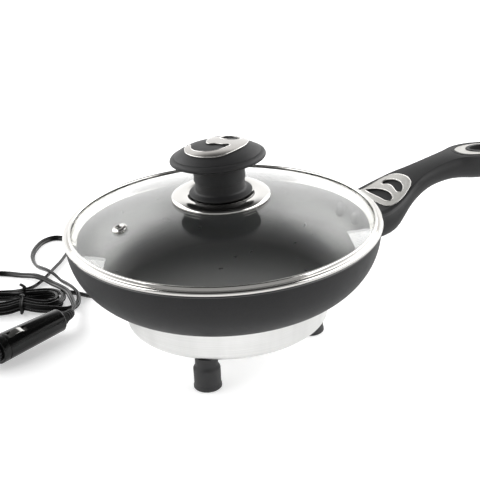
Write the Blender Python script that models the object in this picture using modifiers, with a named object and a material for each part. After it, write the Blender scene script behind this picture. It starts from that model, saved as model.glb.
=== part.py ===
# An electric frying pan for a vehicle socket, in metres, with +Z up.
# The feet stand on z = 0, the handle points along +X, and the origin is below the middle of the
# box round the pan, lid, base and handle. The cord and its plug lie on the same surface.
import math

import bmesh
import bpy
from mathutils import Matrix, Vector

for old in list(bpy.data.objects):
    bpy.data.objects.remove(old, do_unlink=True)

# Clearances
seat_gap = 0.0003          # between pieces that rest on each other
slide_gap = 0.0004         # round pieces that slide or pass through a hole
overrun = 0.002            # how far a cutter passes the face that it cuts
weld_distance = 0.00001    # within which two corners are one

# How finely the round pieces are divided
ring_steps = 40
knob_steps = 28
small_steps = 16
wire_steps = 10

# Pan
pan_rim_radius = 0.1195
pan_side_radius = 0.049    # the side is a quarter of a circle in section
pan_straight = 0.0005      # straight part of the wall above that quarter
pan_wall = 0.0025
pan_floor = 0.0030
pan_rim_round = 0.0008

# Feet and base
foot_height = 0.0262
foot_radius = 0.0102
foot_top_radius = 0.0077
foot_shoulder = 0.0050
foot_lip_radius = 0.0107
foot_lip_height = 0.0030
foot_edge = 0.0009
foot_inset = 0.0103        # of the circle of the feet from the lower edge of the base
foot_count = 3
foot_first_azimuth = math.radians(-134.0)
foot_counterbore_radius = 0.0041
foot_counterbore_depth = 0.0090
base_height = 0.0232       # from the bottom of the base to the bottom of the pan
base_inset = 0.0400        # of the top of the base from the rim of the pan
base_taper = 0.0027
base_corner = 0.0055
base_sheet = 0.0008

# Fasteners
screw_shank_radius = 0.0017
screw_head_radius = 0.0033
screw_head_height = 0.0020
screw_recess_radius = 0.0012
screw_recess_depth = 0.0010
stud_radius = 0.0040
stud_bore_depth = 0.0120
centre_stud_radius = 0.0030
centre_stud_length = 0.0150
nut_radius = 0.0052
nut_height = 0.0024
nut_sides = 6

# Heater stack below the pan
stack_inset = 0.0188
mica_thickness = 0.0005
element_thickness = 0.0013
element_inner_radius = 0.0180
pressure_plate_thickness = 0.0012
insulation_thickness = 0.0060
thermostat_radius = 0.0075
thermostat_height = 0.0078
thermostat_place = 0.0300
thermostat_azimuth = math.radians(165.0)
thermostat_lug_width = 0.0056
thermostat_lug_length = 0.0105
thermostat_lug_height = 0.0010
fuse_link_radius = 0.0020
fuse_link_length = 0.0120
fuse_link_cap = 0.0022
fuse_link_place = 0.0300
fuse_link_azimuth = math.radians(60.0)
terminal_length = 0.0240
terminal_width = 0.0130
terminal_height = 0.0080
terminal_inset = 0.0288
terminal_step = 0.0030
terminal_aside = 0.0080    # to the side of the gland, clear of the stud beside it
inner_wire_radius = 0.0010

# Cord gland
gland_azimuth = math.radians(111.5)
gland_drop = 0.0100        # below the bottom of the pan
gland_bore_radius = 0.0050
gland_flange_radius = 0.0066
gland_flange = 0.0015
gland_nose_length = 0.0140
gland_nose_radius = 0.0052
gland_nose_end_radius = 0.0038

# Lid
lid_overhang = 0.0015      # of the lid past the rim of the pan
band_height = 0.0062
band_width = 0.0064
band_bead_radius = 0.0011
band_roll_radius = 0.0020
band_valley_depth = 0.0025
band_sheet = 0.0006
band_skirt_inset = 0.0080
band_skirt_depth = 0.0050
glass_thickness = 0.0030
glass_edge_inset = 0.0056
glass_flat_inset = 0.0085
glass_rise = 0.0220        # of the middle of the glass above the top of the band
glass_step = 0.0006
vent_inset = 0.0400        # from the edge of the lid
vent_azimuth = math.radians(172.5)
vent_bore_radius = 0.0020
vent_tube_radius = 0.0031
vent_flange_radius = 0.0057
vent_flange = 0.0015
vent_lower_flange_radius = 0.0045
knob_hole_radius = 0.0042

# Knob
plate_rise = 0.0252        # top of the chrome plate above the top of the band
plate_sheet = 0.0008
plate_radius = 0.0372
plate_seat_radius = 0.0245
plate_drop = 0.0045
plate_lip = 0.0008
spacer_radius = 0.0110
knob_lean = math.radians(1.8)
stem_height = 0.0246
stem_radius = 0.0199
stem_waist_radius = 0.0192
stem_ring_height = 0.0102
stem_ring_depth = 0.0007
stem_foot_radius = 0.0238
stem_bore_radius = 0.0027
stem_bore_depth = 0.0115
lip_radius = 0.0362
lip_bottom = 0.0243
lip_top = 0.0280
cap_radius = 0.0334
cap_height = 0.0078
inlay_half_length = 0.0235
inlay_half_width = 0.0200
inlay_turn = math.radians(11.0)
inlay_forward = 0.0016
inlay_thickness = 0.0010
washer_radius = 0.0090
washer_thickness = 0.0012
knob_screw_head_radius = 0.0048
knob_screw_head_height = 0.0024
knob_screw_shank_radius = 0.0020
knob_screw_reach = 0.0100

# Handle
grip_length = 0.1920
grip_overlap = 0.0155      # of the uncut grip with the pan, inwards from its rim
grip_drop = 0.0080         # of the top of the grip at its root, below the rim of the pan
grip_rise = 0.0190
grip_depth = 0.0315
grip_half_width = 0.0220
grip_crown = 0.0030
grip_full_crown_share = 0.73
grip_pan_gap = 0.0006
rivet_spacing = math.radians(10.8)
rivet_drop_angle = math.radians(21.5)
rivet_head_radius = 0.0058
rivet_head_height = 0.0026
rivet_shank_radius = 0.0021
rivet_tail_radius = 0.0034
rivet_tail_height = 0.0014
rivet_seat_gap = 0.0009    # under the middle of the head, whose edge is nearer the curved wall
bracket_sheet = 0.0020
bracket_half_angle = math.radians(7.8)
bracket_top_angle = math.radians(15.0)
bracket_low_angle = math.radians(34.0)
tongue_drop = 0.0165       # below the rim of the pan
tongue_thickness = 0.0030
tongue_half_width = 0.0055
tongue_end_share = 0.32    # of the length of the grip
handle_screw_share = 0.2865
handle_screw_drop = 0.0045 # of its head below the middle of the tongue
handle_screw_rise = 0.0075
root_trim_gap = 0.0040     # from the rim of the pan
root_trim_end_share = 0.3375
root_trim_width_share = 0.9091
root_trim_thickness = 0.0010
root_trim_proud = 0.0003
end_trim_middle_share = 0.7734
end_trim_length_share = 0.1536
end_trim_width_share = 0.6636
end_trim_sink = 0.0005
end_trim_thickness = 0.0010
hang_ring_length_share = 0.1088
hang_ring_width_share = 0.4545
hang_hole_length_share = 0.0930
hang_hole_width_share = 0.3273

# Vehicle plug
plug_place = Vector((-0.1341, 0.0372, 0))      # rear end, in the cord's frame
plug_azimuth = math.radians(46.0)
plug_contact_tilt = math.radians(20.0)
plug_length = 0.0660
plug_rear_radius = 0.0093
plug_front_radius = 0.0112
plug_edge = 0.0009
plug_bore_radius = 0.0038
plug_bore_start = 0.0205
nose_length = 0.0120
nose_radius = 0.0088
nose_end_radius = 0.0062
nose_rear_bore = 0.0041
nose_front_bore = 0.0029
nose_shoulder = 0.0045
tip_flange_radius = 0.0036
tip_flange = 0.0022
tip_radius = 0.0025
tip_reach = 0.0055
glass_fuse_length = 0.0300
glass_fuse_radius = 0.0030
glass_fuse_cap_radius = 0.0032
glass_fuse_cap = 0.0060
spring_wire_radius = 0.0004
spring_radius = 0.0026
spring_turns = 5
contact_width = 0.0050
contact_sheet = 0.0008
contact_start = 0.0375
contact_length = 0.0180
contact_bulge = 0.0030
contact_base = 0.0084
slot_floor = 0.0066
relief_length = 0.0165
relief_radius = 0.0050
relief_end_radius = 0.0036

# Cord: a flat twin cord, taken as round here
cord_radius = 0.0020
cord_turn = math.radians(-28.5)                # of the cord's frame about the axis of the pan
cord_step = 0.0115                             # between the points of a free stretch
hank_right = -0.1505
hank_run = 0.0950
hank_middle = 0.0895
hank_outer = 0.0171
hank_pitch = 0.0049
hank_layer = 0.0047
hank_points_per_fold = 6
hank_reversal = 2.125
hank_end = 4.75
hank_run_shares = (0, 0.09, 0.19, 0.31, 0.52, 0.77)
tie_place = -0.1685
tie_pull = 0.0045
tie_lift = 0.0017
tie_spread = 0.0100
tie_wire_radius = 0.0007

# Places worked out from the sizes above
base_bottom = foot_height+seat_gap
base_inside = base_bottom+base_sheet
pan_bottom = base_bottom+base_height+seat_gap
pan_centre_height = pan_bottom+pan_side_radius
pan_flat_radius = pan_rim_radius-pan_side_radius
pan_top = pan_centre_height+pan_straight
band_bottom = pan_top+seat_gap
band_top = band_bottom+band_height
glass_edge_top = band_top-band_bead_radius-2*seat_gap
glass_top = band_top+glass_rise
plate_top = band_top+plate_rise
knob_base = plate_top+seat_gap
base_top_radius = pan_rim_radius-base_inset
base_low_radius = base_top_radius-base_taper
foot_circle = base_low_radius-foot_inset
stack_radius = base_low_radius-stack_inset
terminal_place = base_low_radius-terminal_inset
lid_radius = pan_rim_radius+lid_overhang
band_skirt_radius = lid_radius-band_skirt_inset
glass_flat_radius = lid_radius-glass_flat_inset
vent_circle = lid_radius-vent_inset
grip_start = pan_rim_radius-grip_overlap
handle_reach = grip_start+grip_length
tongue_height = pan_top-tongue_drop
tongue_end = grip_start+grip_length*tongue_end_share
handle_screw_place = grip_start+grip_length*handle_screw_share
handle_screw_seat = tongue_height-handle_screw_drop
handle_screw_tip = tongue_height+handle_screw_rise
root_trim_start = pan_rim_radius+root_trim_gap
root_trim_end = grip_start+grip_length*root_trim_end_share
root_trim_half_width = grip_half_width*root_trim_width_share
end_trim_middle = grip_start+grip_length*end_trim_middle_share
end_trim_half_length = grip_length*end_trim_length_share
end_trim_half_width = grip_half_width*end_trim_width_share
hang_ring_half_length = grip_length*hang_ring_length_share
hang_ring_half_width = grip_half_width*hang_ring_width_share
hang_hole_half_length = grip_length*hang_hole_length_share
hang_hole_half_width = grip_half_width*hang_hole_width_share
pan_axis_x = (lid_radius-handle_reach)/2
cord_floor = cord_radius+seat_gap

parts = bpy.data.collections.new("electric_skillet")
tools = bpy.data.collections.new("cutters")
bpy.context.scene.collection.children.link(parts)
bpy.context.scene.collection.children.link(tools)
materials = {}


def material(name, colour, roughness, metallic=0):
    if name not in materials:
        made = bpy.data.materials.new(name)
        made.use_nodes = True
        shader = made.node_tree.nodes["Principled BSDF"]
        shader.inputs["Base Color"].default_value = (*colour, 1)
        shader.inputs["Roughness"].default_value = roughness
        shader.inputs["Metallic"].default_value = metallic
        made.diffuse_color = (*colour, 1)
        materials[name] = made
    return materials[name]


def coated_metal():
    return material("coated_metal", (0.035, 0.036, 0.039), 0.42, 0.3)


def black_plastic():
    return material("black_plastic", (0.018, 0.018, 0.019), 0.5)


def black_rubber():
    return material("black_rubber", (0.015, 0.015, 0.016), 0.6)


def chrome():
    return material("chrome", (0.78, 0.78, 0.79), 0.08, 1)


def satin_steel():
    return material("satin_steel", (0.62, 0.61, 0.6), 0.3, 1)


def brushed_steel():
    return material("brushed_steel", (0.7, 0.7, 0.7), 0.32, 1)


def clear_glass():
    return material("clear_glass", (0.75, 0.8, 0.8), 0.03)


def mica():
    return material("mica", (0.45, 0.38, 0.25), 0.6)


def fibre():
    return material("fibre", (0.7, 0.68, 0.62), 0.9)


def zinc():
    return material("zinc_steel", (0.55, 0.56, 0.58), 0.35, 1)


def empty(name, location=(0, 0, 0), rotation=(0, 0, 0), parent=None):
    made = bpy.data.objects.new(name, None)
    made.location = location
    made.rotation_euler = rotation
    made.parent = parent
    parts.objects.link(made)
    return made


def place(made, surface, parent=None, location=(0, 0, 0), rotation=(0, 0, 0)):
    made.location = location
    made.rotation_euler = rotation
    made.parent = parent
    if surface is None:
        made.hide_render = True
        made.display_type = "WIRE"
        tools.objects.link(made)
    else:
        made.data.materials.append(surface)
        parts.objects.link(made)
    return made


def mesh_object(name, bm, surface, **where):
    mesh = bpy.data.meshes.new(name)
    bm.to_mesh(mesh)
    bm.free()
    mesh.shade_smooth()
    mesh.set_sharp_from_angle(angle=math.radians(35))
    return place(bpy.data.objects.new(name, mesh), surface, **where)


def turned(name, profile, surface, steps=ring_steps, ring=True, **where):
    # The profile is a list of radius and height, and its outer side runs from top to bottom
    mesh = bpy.data.meshes.new(name)
    count = len(profile)
    edges = [(i, i+1) for i in range(count-1)]
    if ring:
        edges.append((count-1, 0))
    mesh.from_pydata([(r, 0, z) for r, z in profile], edges, [])
    made = place(bpy.data.objects.new(name, mesh), surface, **where)
    screw = made.modifiers.new("turn", "SCREW")
    screw.angle = math.tau
    screw.steps = steps
    screw.render_steps = steps
    screw.use_merge_vertices = True
    screw.merge_threshold = weld_distance
    screw.use_smooth_shade = True
    return made


def rod(name, radius, low, high, surface, steps=small_steps, **where):
    bm = bmesh.new()
    bmesh.ops.create_cone(bm, cap_ends=True, segments=steps, radius1=radius, radius2=radius,
                          depth=high-low)
    bmesh.ops.translate(bm, vec=(0, 0, (low+high)/2), verts=bm.verts)
    return mesh_object(name, bm, surface, **where)


def tube_between(name, inner, outer, low, high, surface, steps=ring_steps, **where):
    profile = [(inner, high), (outer, high), (outer, low), (inner, low)]
    return turned(name, profile, surface, steps, **where)


def block(name, size, centre, surface, **where):
    bm = bmesh.new()
    bmesh.ops.create_cube(bm, size=1)
    bmesh.ops.scale(bm, vec=size, verts=bm.verts)
    bmesh.ops.translate(bm, vec=centre, verts=bm.verts)
    return mesh_object(name, bm, surface, **where)


def prism(name, outline, low, high, surface, **where):
    # A flat outline of x and y, as a filled curve that is then made a mesh
    curve = bpy.data.curves.new(name, "CURVE")
    curve.dimensions = "2D"
    curve.fill_mode = "BOTH"
    curve.extrude = (high-low)/2
    spline = curve.splines.new("POLY")
    spline.points.add(len(outline)-1)
    for point, (x, y) in zip(spline.points, outline):
        point.co = (x, y, 0, 1)
    spline.use_cyclic_u = True
    drawn = bpy.data.objects.new(name, curve)
    tools.objects.link(drawn)
    bpy.context.view_layer.update()
    graph = bpy.context.evaluated_depsgraph_get()
    mesh = bpy.data.meshes.new_from_object(drawn.evaluated_get(graph))
    bpy.data.objects.remove(drawn)
    bm = bmesh.new()
    bm.from_mesh(mesh)
    bmesh.ops.remove_doubles(bm, verts=bm.verts, dist=weld_distance)
    bmesh.ops.translate(bm, vec=(0, 0, (low+high)/2), verts=bm.verts)
    bmesh.ops.recalc_face_normals(bm, faces=bm.faces)
    return mesh_object(name, bm, surface, **where)


def loft(name, rings, surface, **where):
    # Each ring is a list of points, and all rings have as many points
    bm = bmesh.new()
    rows = [[bm.verts.new(p) for p in ring] for ring in rings]
    for a, b in zip(rows, rows[1:]):
        for i in range(len(a)):
            j = (i+1) % len(a)
            bm.faces.new((a[i], a[j], b[j], b[i]))
    bm.faces.new(rows[0][::-1])
    bm.faces.new(rows[-1])
    bmesh.ops.recalc_face_normals(bm, faces=bm.faces)
    return mesh_object(name, bm, surface, **where)


def wire(name, points, radius, surface, detail=2, radii=None, **where):
    curve = bpy.data.curves.new(name, "CURVE")
    curve.dimensions = "3D"
    curve.bevel_depth = radius
    curve.bevel_resolution = detail
    curve.use_fill_caps = True
    spline = curve.splines.new("POLY")
    spline.points.add(len(points)-1)
    for i, (point, p) in enumerate(zip(spline.points, points)):
        point.co = (*p, 1)
        if radii is not None:
            point.radius = radii[i]/radius
    return place(bpy.data.objects.new(name, curve), surface, **where)


def cut(made, cutter, operation="DIFFERENCE"):
    boolean = made.modifiers.new(cutter.name, "BOOLEAN")
    boolean.operation = operation
    boolean.object = cutter
    return made


def arc(centre, radius, first, last, count):
    # Points on an arc in the plane of a profile, from one angle to another
    points = []
    for i in range(count+1):
        angle = first+(last-first)*i/count
        points.append((centre[0]+radius*math.cos(angle), centre[1]+radius*math.sin(angle)))
    return points


def along(table, x):
    # A smooth curve through a table of x and value, level at both ends
    if x <= table[0][0]:
        return table[0][1]
    for i in range(len(table)-1):
        x0, y0 = table[i]
        x1, y1 = table[i+1]
        if x <= x1:
            before = table[max(i-1, 0)]
            after = table[min(i+2, len(table)-1)]
            slope0 = (y1-before[1])/(x1-before[0])
            slope1 = (after[1]-y0)/(after[0]-x0)
            t = (x-x0)/(x1-x0)
            width = x1-x0
            return ((2*t**3-3*t**2+1)*y0+(t**3-2*t**2+t)*width*slope0
                    + (3*t**2-2*t**3)*y1+(t**3-t**2)*width*slope1)
    return table[-1][1]


def smooth_route(points, step):
    # A Catmull-Rom curve through the points, read at even steps
    given = [Vector(p) for p in points]
    ends = [2*given[0]-given[1]]+given+[2*given[-1]-given[-2]]
    fine = []
    for a, b, c, d in zip(ends, ends[1:], ends[2:], ends[3:]):
        for k in range(12):
            t = k/12
            fine.append(0.5*(2*b+(c-a)*t+(2*a-5*b+4*c-d)*t*t+(3*b-a-3*c+d)*t**3))
    fine.append(given[-1])
    total = sum((q-p).length for p, q in zip(fine, fine[1:]))
    count = max(2, round(total/step))
    even = [fine[0]]
    passed = 0
    for p, q in zip(fine, fine[1:]):
        piece = (q-p).length
        while len(even) < count and passed+piece >= len(even)*total/count:
            even.append(p.lerp(q, (len(even)*total/count-passed)/piece))
        passed += piece
    even.append(fine[-1])
    return even, total


pan_axis = empty("pan_axis", (pan_axis_x, 0, 0))
photo_frame = empty("photo_frame", rotation=(0, 0, cord_turn), parent=pan_axis)


def pan_surface(angle, offset):
    # A point on the outer side of the pan, offset outwards: the angle is measured down from level
    radius = pan_side_radius+offset
    return (pan_flat_radius+radius*math.cos(angle), pan_centre_height-radius*math.sin(angle))


def pan_underside(offset, count):
    centre = (pan_flat_radius, pan_centre_height)
    return arc(centre, pan_side_radius+offset, 0, -math.pi/2, count)


def rivet_frames():
    frames = []
    out, height = pan_surface(rivet_drop_angle, 0)
    for sign in (-1, 1):
        azimuth = sign*rivet_spacing/2
        turn = empty("rivet_turn", rotation=(0, 0, azimuth), parent=pan_axis)
        tilt = (0, math.pi/2+rivet_drop_angle, 0)
        frames.append(empty("rivet_axis", (out, 0, height), tilt, turn))
    return frames


def make_pan(frames):
    inner = pan_side_radius-pan_wall
    start = math.acos((pan_side_radius-pan_floor)/inner)
    centre = (pan_flat_radius, pan_centre_height)
    profile = [(0, pan_bottom+pan_floor)]
    profile += arc(centre, inner, start-math.pi/2, 0, 6)
    lip = pan_rim_round
    inside = pan_rim_radius-pan_wall
    profile += [(inside, pan_top-lip), (inside+lip, pan_top), (pan_rim_radius-lip, pan_top)]
    profile += [(pan_rim_radius, pan_top-lip)]
    profile += pan_underside(0, 8)[1:]
    profile.append((0, pan_bottom))
    pan = turned("pan_body", profile, coated_metal(), ring=False, parent=pan_axis)
    for i, frame in enumerate(frames):
        hole = rod(f"rivet_hole_{i+1}", rivet_shank_radius+seat_gap, -pan_wall-overrun, overrun,
                   None, wire_steps, parent=frame)
        cut(pan, hole)


def make_rivets(frames):
    # Along the rivet's own axis, zero is the outer face of the pan wall, and plus is outwards
    head = -pan_wall-rivet_seat_gap
    tail = bracket_sheet+2*seat_gap
    ball = (rivet_head_radius**2+rivet_head_height**2)/(2*rivet_head_height)
    for i, frame in enumerate(frames):
        profile = [(0, tail+rivet_tail_height), (rivet_tail_radius*0.7, tail+rivet_tail_height),
                   (rivet_tail_radius, tail+rivet_tail_height/2), (rivet_tail_radius, tail),
                   (rivet_shank_radius, tail), (rivet_shank_radius, head),
                   (rivet_head_radius, head)]
        for k in range(1, 5):
            reach = rivet_head_radius*(1-k/4)
            height = math.sqrt(ball**2-reach**2)-ball+rivet_head_height
            profile.append((reach, head-height))
        turned(f"handle_rivet_{i+1}", profile, coated_metal(), small_steps, False, parent=frame)


def stud_places():
    places = []
    for k in range(foot_count):
        azimuth = foot_first_azimuth+math.tau*k/foot_count
        places.append((foot_circle*math.cos(azimuth), foot_circle*math.sin(azimuth), 0))
    return places


def base_wall_radius(height):
    share = (height-base_bottom)/(pan_bottom-base_bottom)
    return base_low_radius+(base_top_radius-base_low_radius)*share


def make_base():
    low = base_bottom+base_corner
    corner = (base_wall_radius(low)-base_corner, low)
    edge = math.acos((base_top_radius-base_sheet-pan_flat_radius)/pan_side_radius)
    top = pan_centre_height-pan_side_radius*math.sin(edge)-seat_gap*2
    outer = [(base_top_radius, top)]+arc(corner, base_corner, 0, -math.pi/2, 3)
    inner = arc(corner, base_corner-base_sheet, -math.pi/2, 0, 3)
    inner.append((base_top_radius-base_sheet, top))
    profile = [(0, base_inside)]+inner+outer+[(0, base_bottom)]
    shell = turned("base_shell", profile, brushed_steel(), ring=False, parent=pan_axis)
    for k, (x, y, _) in enumerate(stud_places()):
        hole = rod(f"shell_hole_{k+1}", screw_shank_radius+seat_gap, base_bottom-overrun,
                   base_inside+overrun, None, wire_steps, parent=pan_axis, location=(x, y, 0))
        cut(shell, hole)
    return shell


def make_feet():
    screw_top = foot_height+base_sheet+2*seat_gap+stud_bore_depth*0.8
    head_top = foot_counterbore_depth-seat_gap
    for k, where in enumerate(stud_places()):
        bore = screw_shank_radius+seat_gap
        shoulder = [(foot_top_radius, foot_height),
                    (foot_radius-(foot_radius-foot_top_radius)*0.25, foot_height-foot_shoulder*0.45),
                    (foot_radius, foot_height-foot_shoulder)]
        profile = [(bore, foot_height)]+shoulder
        profile += [(foot_radius, foot_lip_height*1.3), (foot_lip_radius, foot_lip_height),
                    (foot_lip_radius, foot_edge), (foot_lip_radius-foot_edge, 0),
                    (foot_counterbore_radius, 0),
                    (foot_counterbore_radius, foot_counterbore_depth),
                    (bore, foot_counterbore_depth)]
        turned(f"foot_{k+1}", profile, black_rubber(), small_steps, parent=pan_axis, location=where)
        low = head_top-screw_head_height
        screw = [(0, screw_top), (screw_shank_radius, screw_top), (screw_shank_radius, head_top),
                 (screw_head_radius, head_top), (screw_head_radius, low+screw_head_height*0.3),
                 (screw_head_radius*0.8, low), (screw_recess_radius, low),
                 (screw_recess_radius*0.6, low+screw_recess_depth), (0, low+screw_recess_depth)]
        turned(f"foot_screw_{k+1}", screw, zinc(), wire_steps, False, parent=pan_axis,
               location=where)
        bottom = base_inside+seat_gap
        top = pan_bottom-seat_gap
        stud = [(0, top), (stud_radius, top), (stud_radius, bottom), (bore, bottom),
                (bore, bottom+stud_bore_depth), (0, bottom+stud_bore_depth)]
        turned(f"stud_{k+1}", stud, zinc(), wire_steps, False, parent=pan_axis, location=where)


def make_heater():
    hole = centre_stud_radius+slide_gap
    level = pan_bottom
    made = {}
    stack = (("upper_mica", mica_thickness, hole, mica()),
             ("heating_element", element_thickness, element_inner_radius, zinc()),
             ("lower_mica", mica_thickness, hole, mica()),
             ("pressure_plate", pressure_plate_thickness, hole, zinc()),
             ("insulation_disc", insulation_thickness, hole, fibre()))
    for name, thickness, inner, surface in stack:
        top = level-seat_gap
        level = top-thickness
        made[name] = (top, level, tube_between(name, inner, stack_radius, level, top, surface,
                                               small_steps, parent=pan_axis))
    plate_low = made["pressure_plate"][1]
    disc = made["insulation_disc"][2]
    top = plate_low-seat_gap
    turn = empty("thermostat_turn", rotation=(0, 0, thermostat_azimuth), parent=pan_axis)
    spot = (thermostat_place, 0, 0)
    body = rod("thermostat", thermostat_radius, top-thermostat_height, top, zinc(),
               small_steps, parent=turn, location=spot)
    lug_size = (2*thermostat_lug_length, thermostat_lug_width, thermostat_lug_height)
    lug_low = top-thermostat_height*0.8
    lug = block("thermostat_lug", lug_size, (0, 0, lug_low), None, parent=turn, location=spot)
    cut(body, lug, "UNION")
    room = block("thermostat_room",
                 (lug_size[0]+4*slide_gap, 2*(thermostat_radius+slide_gap),
                  insulation_thickness+2*overrun),
                 (0, 0, top-insulation_thickness/2), None, parent=turn, location=spot)
    cut(disc, room)
    turn = empty("fuse_turn", rotation=(0, 0, fuse_link_azimuth), parent=pan_axis)
    middle = plate_low-seat_gap-fuse_link_cap
    half = fuse_link_length/2
    cap = half*0.7
    profile = [(0, half), (fuse_link_cap, half), (fuse_link_cap, cap), (fuse_link_radius, cap),
               (fuse_link_radius, -cap), (fuse_link_cap, -cap), (fuse_link_cap, -half), (0, -half)]
    turned("thermal_fuse", profile, zinc(), wire_steps, False, parent=turn,
           location=(fuse_link_place, 0, middle), rotation=(math.pi/2, 0, 0))
    room = block("fuse_room",
                 (2*(fuse_link_cap+slide_gap), fuse_link_length+2*slide_gap,
                  insulation_thickness+2*overrun),
                 (0, 0, top-insulation_thickness/2), None, parent=turn,
                 location=(fuse_link_place, 0, 0))
    cut(disc, room)
    nut_top = level-seat_gap
    stud_top = pan_bottom-seat_gap
    rod("centre_stud", centre_stud_radius, stud_top-centre_stud_length, stud_top, zinc(),
        wire_steps, parent=pan_axis)
    hole = (centre_stud_radius+seat_gap)/math.cos(math.pi/nut_sides)
    tube_between("pressure_nut", hole, nut_radius, nut_top-nut_height, nut_top, zinc(), nut_sides,
                 parent=pan_axis)
    return plate_low-seat_gap-thermostat_height


def gland_axis():
    height = pan_bottom-gland_drop
    slope = math.atan2(base_top_radius-base_low_radius, pan_bottom-base_bottom)
    turn = empty("gland_turn", rotation=(0, 0, gland_azimuth), parent=pan_axis)
    out = base_wall_radius(height)
    axis = empty("gland_axis", (out, 0, height), (0, math.pi/2+slope, 0), turn)
    return axis, out, height, slope


def make_gland(shell, axis):
    # Along the gland's own axis, zero is the outer face of the wall
    hole = rod("gland_hole", gland_bore_radius, -2*base_sheet-overrun, overrun, None,
               small_steps, parent=axis)
    cut(shell, hole)
    sag = base_low_radius-math.sqrt(base_low_radius**2-gland_flange_radius**2)
    front = seat_gap
    back = -base_sheet-seat_gap-sag
    neck = gland_bore_radius-seat_gap
    profile = [(0, gland_nose_length), (gland_nose_end_radius, gland_nose_length),
               (gland_nose_radius, gland_flange+front+0.1*gland_nose_length),
               (gland_flange_radius, gland_flange+front), (gland_flange_radius, front),
               (neck, front), (neck, back), (gland_flange_radius, back),
               (gland_flange_radius-gland_flange/2, back-gland_flange), (0, back-gland_flange)]
    turned("cord_gland", profile, black_rubber(), small_steps, False, parent=axis)
    return back-gland_flange


def make_wiring(inner_face, out, height, slope, thermostat_low):
    # All in a frame whose X axis points at the gland
    turn = empty("wiring_turn", rotation=(0, 0, gland_azimuth), parent=pan_axis)
    floor = base_inside+seat_gap
    middle = (terminal_place, terminal_aside, floor+terminal_height/2)
    body = block("terminal_block", (terminal_width, terminal_length, terminal_height), middle,
                 material("white_ceramic", (0.8, 0.79, 0.76), 0.5), parent=turn)
    for side in (-1, 1):
        notch = block("terminal_notch", (terminal_width+overrun, terminal_step, terminal_step),
                      (terminal_place, terminal_aside+side*terminal_length/2,
                       floor+terminal_height), None, parent=turn)
        cut(body, notch)
    end_x = out+(inner_face-seat_gap-inner_wire_radius*0.3)*math.cos(slope)
    end_z = height-inner_face*math.sin(slope)
    face = terminal_place+terminal_width/2+seat_gap
    rise = floor+terminal_height/2
    for k, side in enumerate((-1, 1)):
        spread = 2*inner_wire_radius+side*inner_wire_radius*1.4
        far = terminal_aside+side*terminal_length*0.25
        points = [(end_x, spread, end_z), (end_x-inner_wire_radius*3, spread, end_z),
                  ((end_x+face)/2, (spread+far)/2, (end_z+rise)/2),
                  (face+inner_wire_radius*3, far, rise), (face, far, rise)]
        route, _ = smooth_route(points, inner_wire_radius*4)
        wire(f"supply_lead_{k+1}", route, inner_wire_radius, black_rubber(), 1, parent=turn)
    # From the other side of the block to the thermostat's lug
    face = terminal_place-terminal_width/2-seat_gap
    azimuth = thermostat_azimuth-gland_azimuth
    spot = Vector((thermostat_place*math.cos(azimuth), thermostat_place*math.sin(azimuth), 0))
    goal = thermostat_low-seat_gap-inner_wire_radius*0.3
    far = terminal_aside-terminal_length*0.25
    low = floor+inner_wire_radius*2
    points = [(face, far, rise), (face-inner_wire_radius*3, far, rise),
              ((face+spot.x)/2, (far+spot.y)/2, low+inner_wire_radius),
              (spot.x, spot.y, low+inner_wire_radius*1.5), (spot.x, spot.y, goal)]
    route, _ = smooth_route(points, inner_wire_radius*4)
    wire("element_lead", route, inner_wire_radius, black_rubber(), 1, parent=turn)


def glass_height(radius):
    # Height of the outer face of the domed part of the glass
    edge = glass_edge_top+glass_step
    rise = glass_top-edge
    ball = (glass_flat_radius**2+rise**2)/(2*rise)
    return glass_top-ball+math.sqrt(ball**2-radius**2)


def vent_axis():
    rise = glass_top-glass_edge_top-glass_step
    ball = (glass_flat_radius**2+rise**2)/(2*rise)
    tilt = math.asin(vent_circle/ball)
    turn = empty("vent_turn", rotation=(0, 0, vent_azimuth), parent=pan_axis)
    return empty("vent_axis", (vent_circle, 0, glass_height(vent_circle)), (0, tilt, 0), turn)


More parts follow.
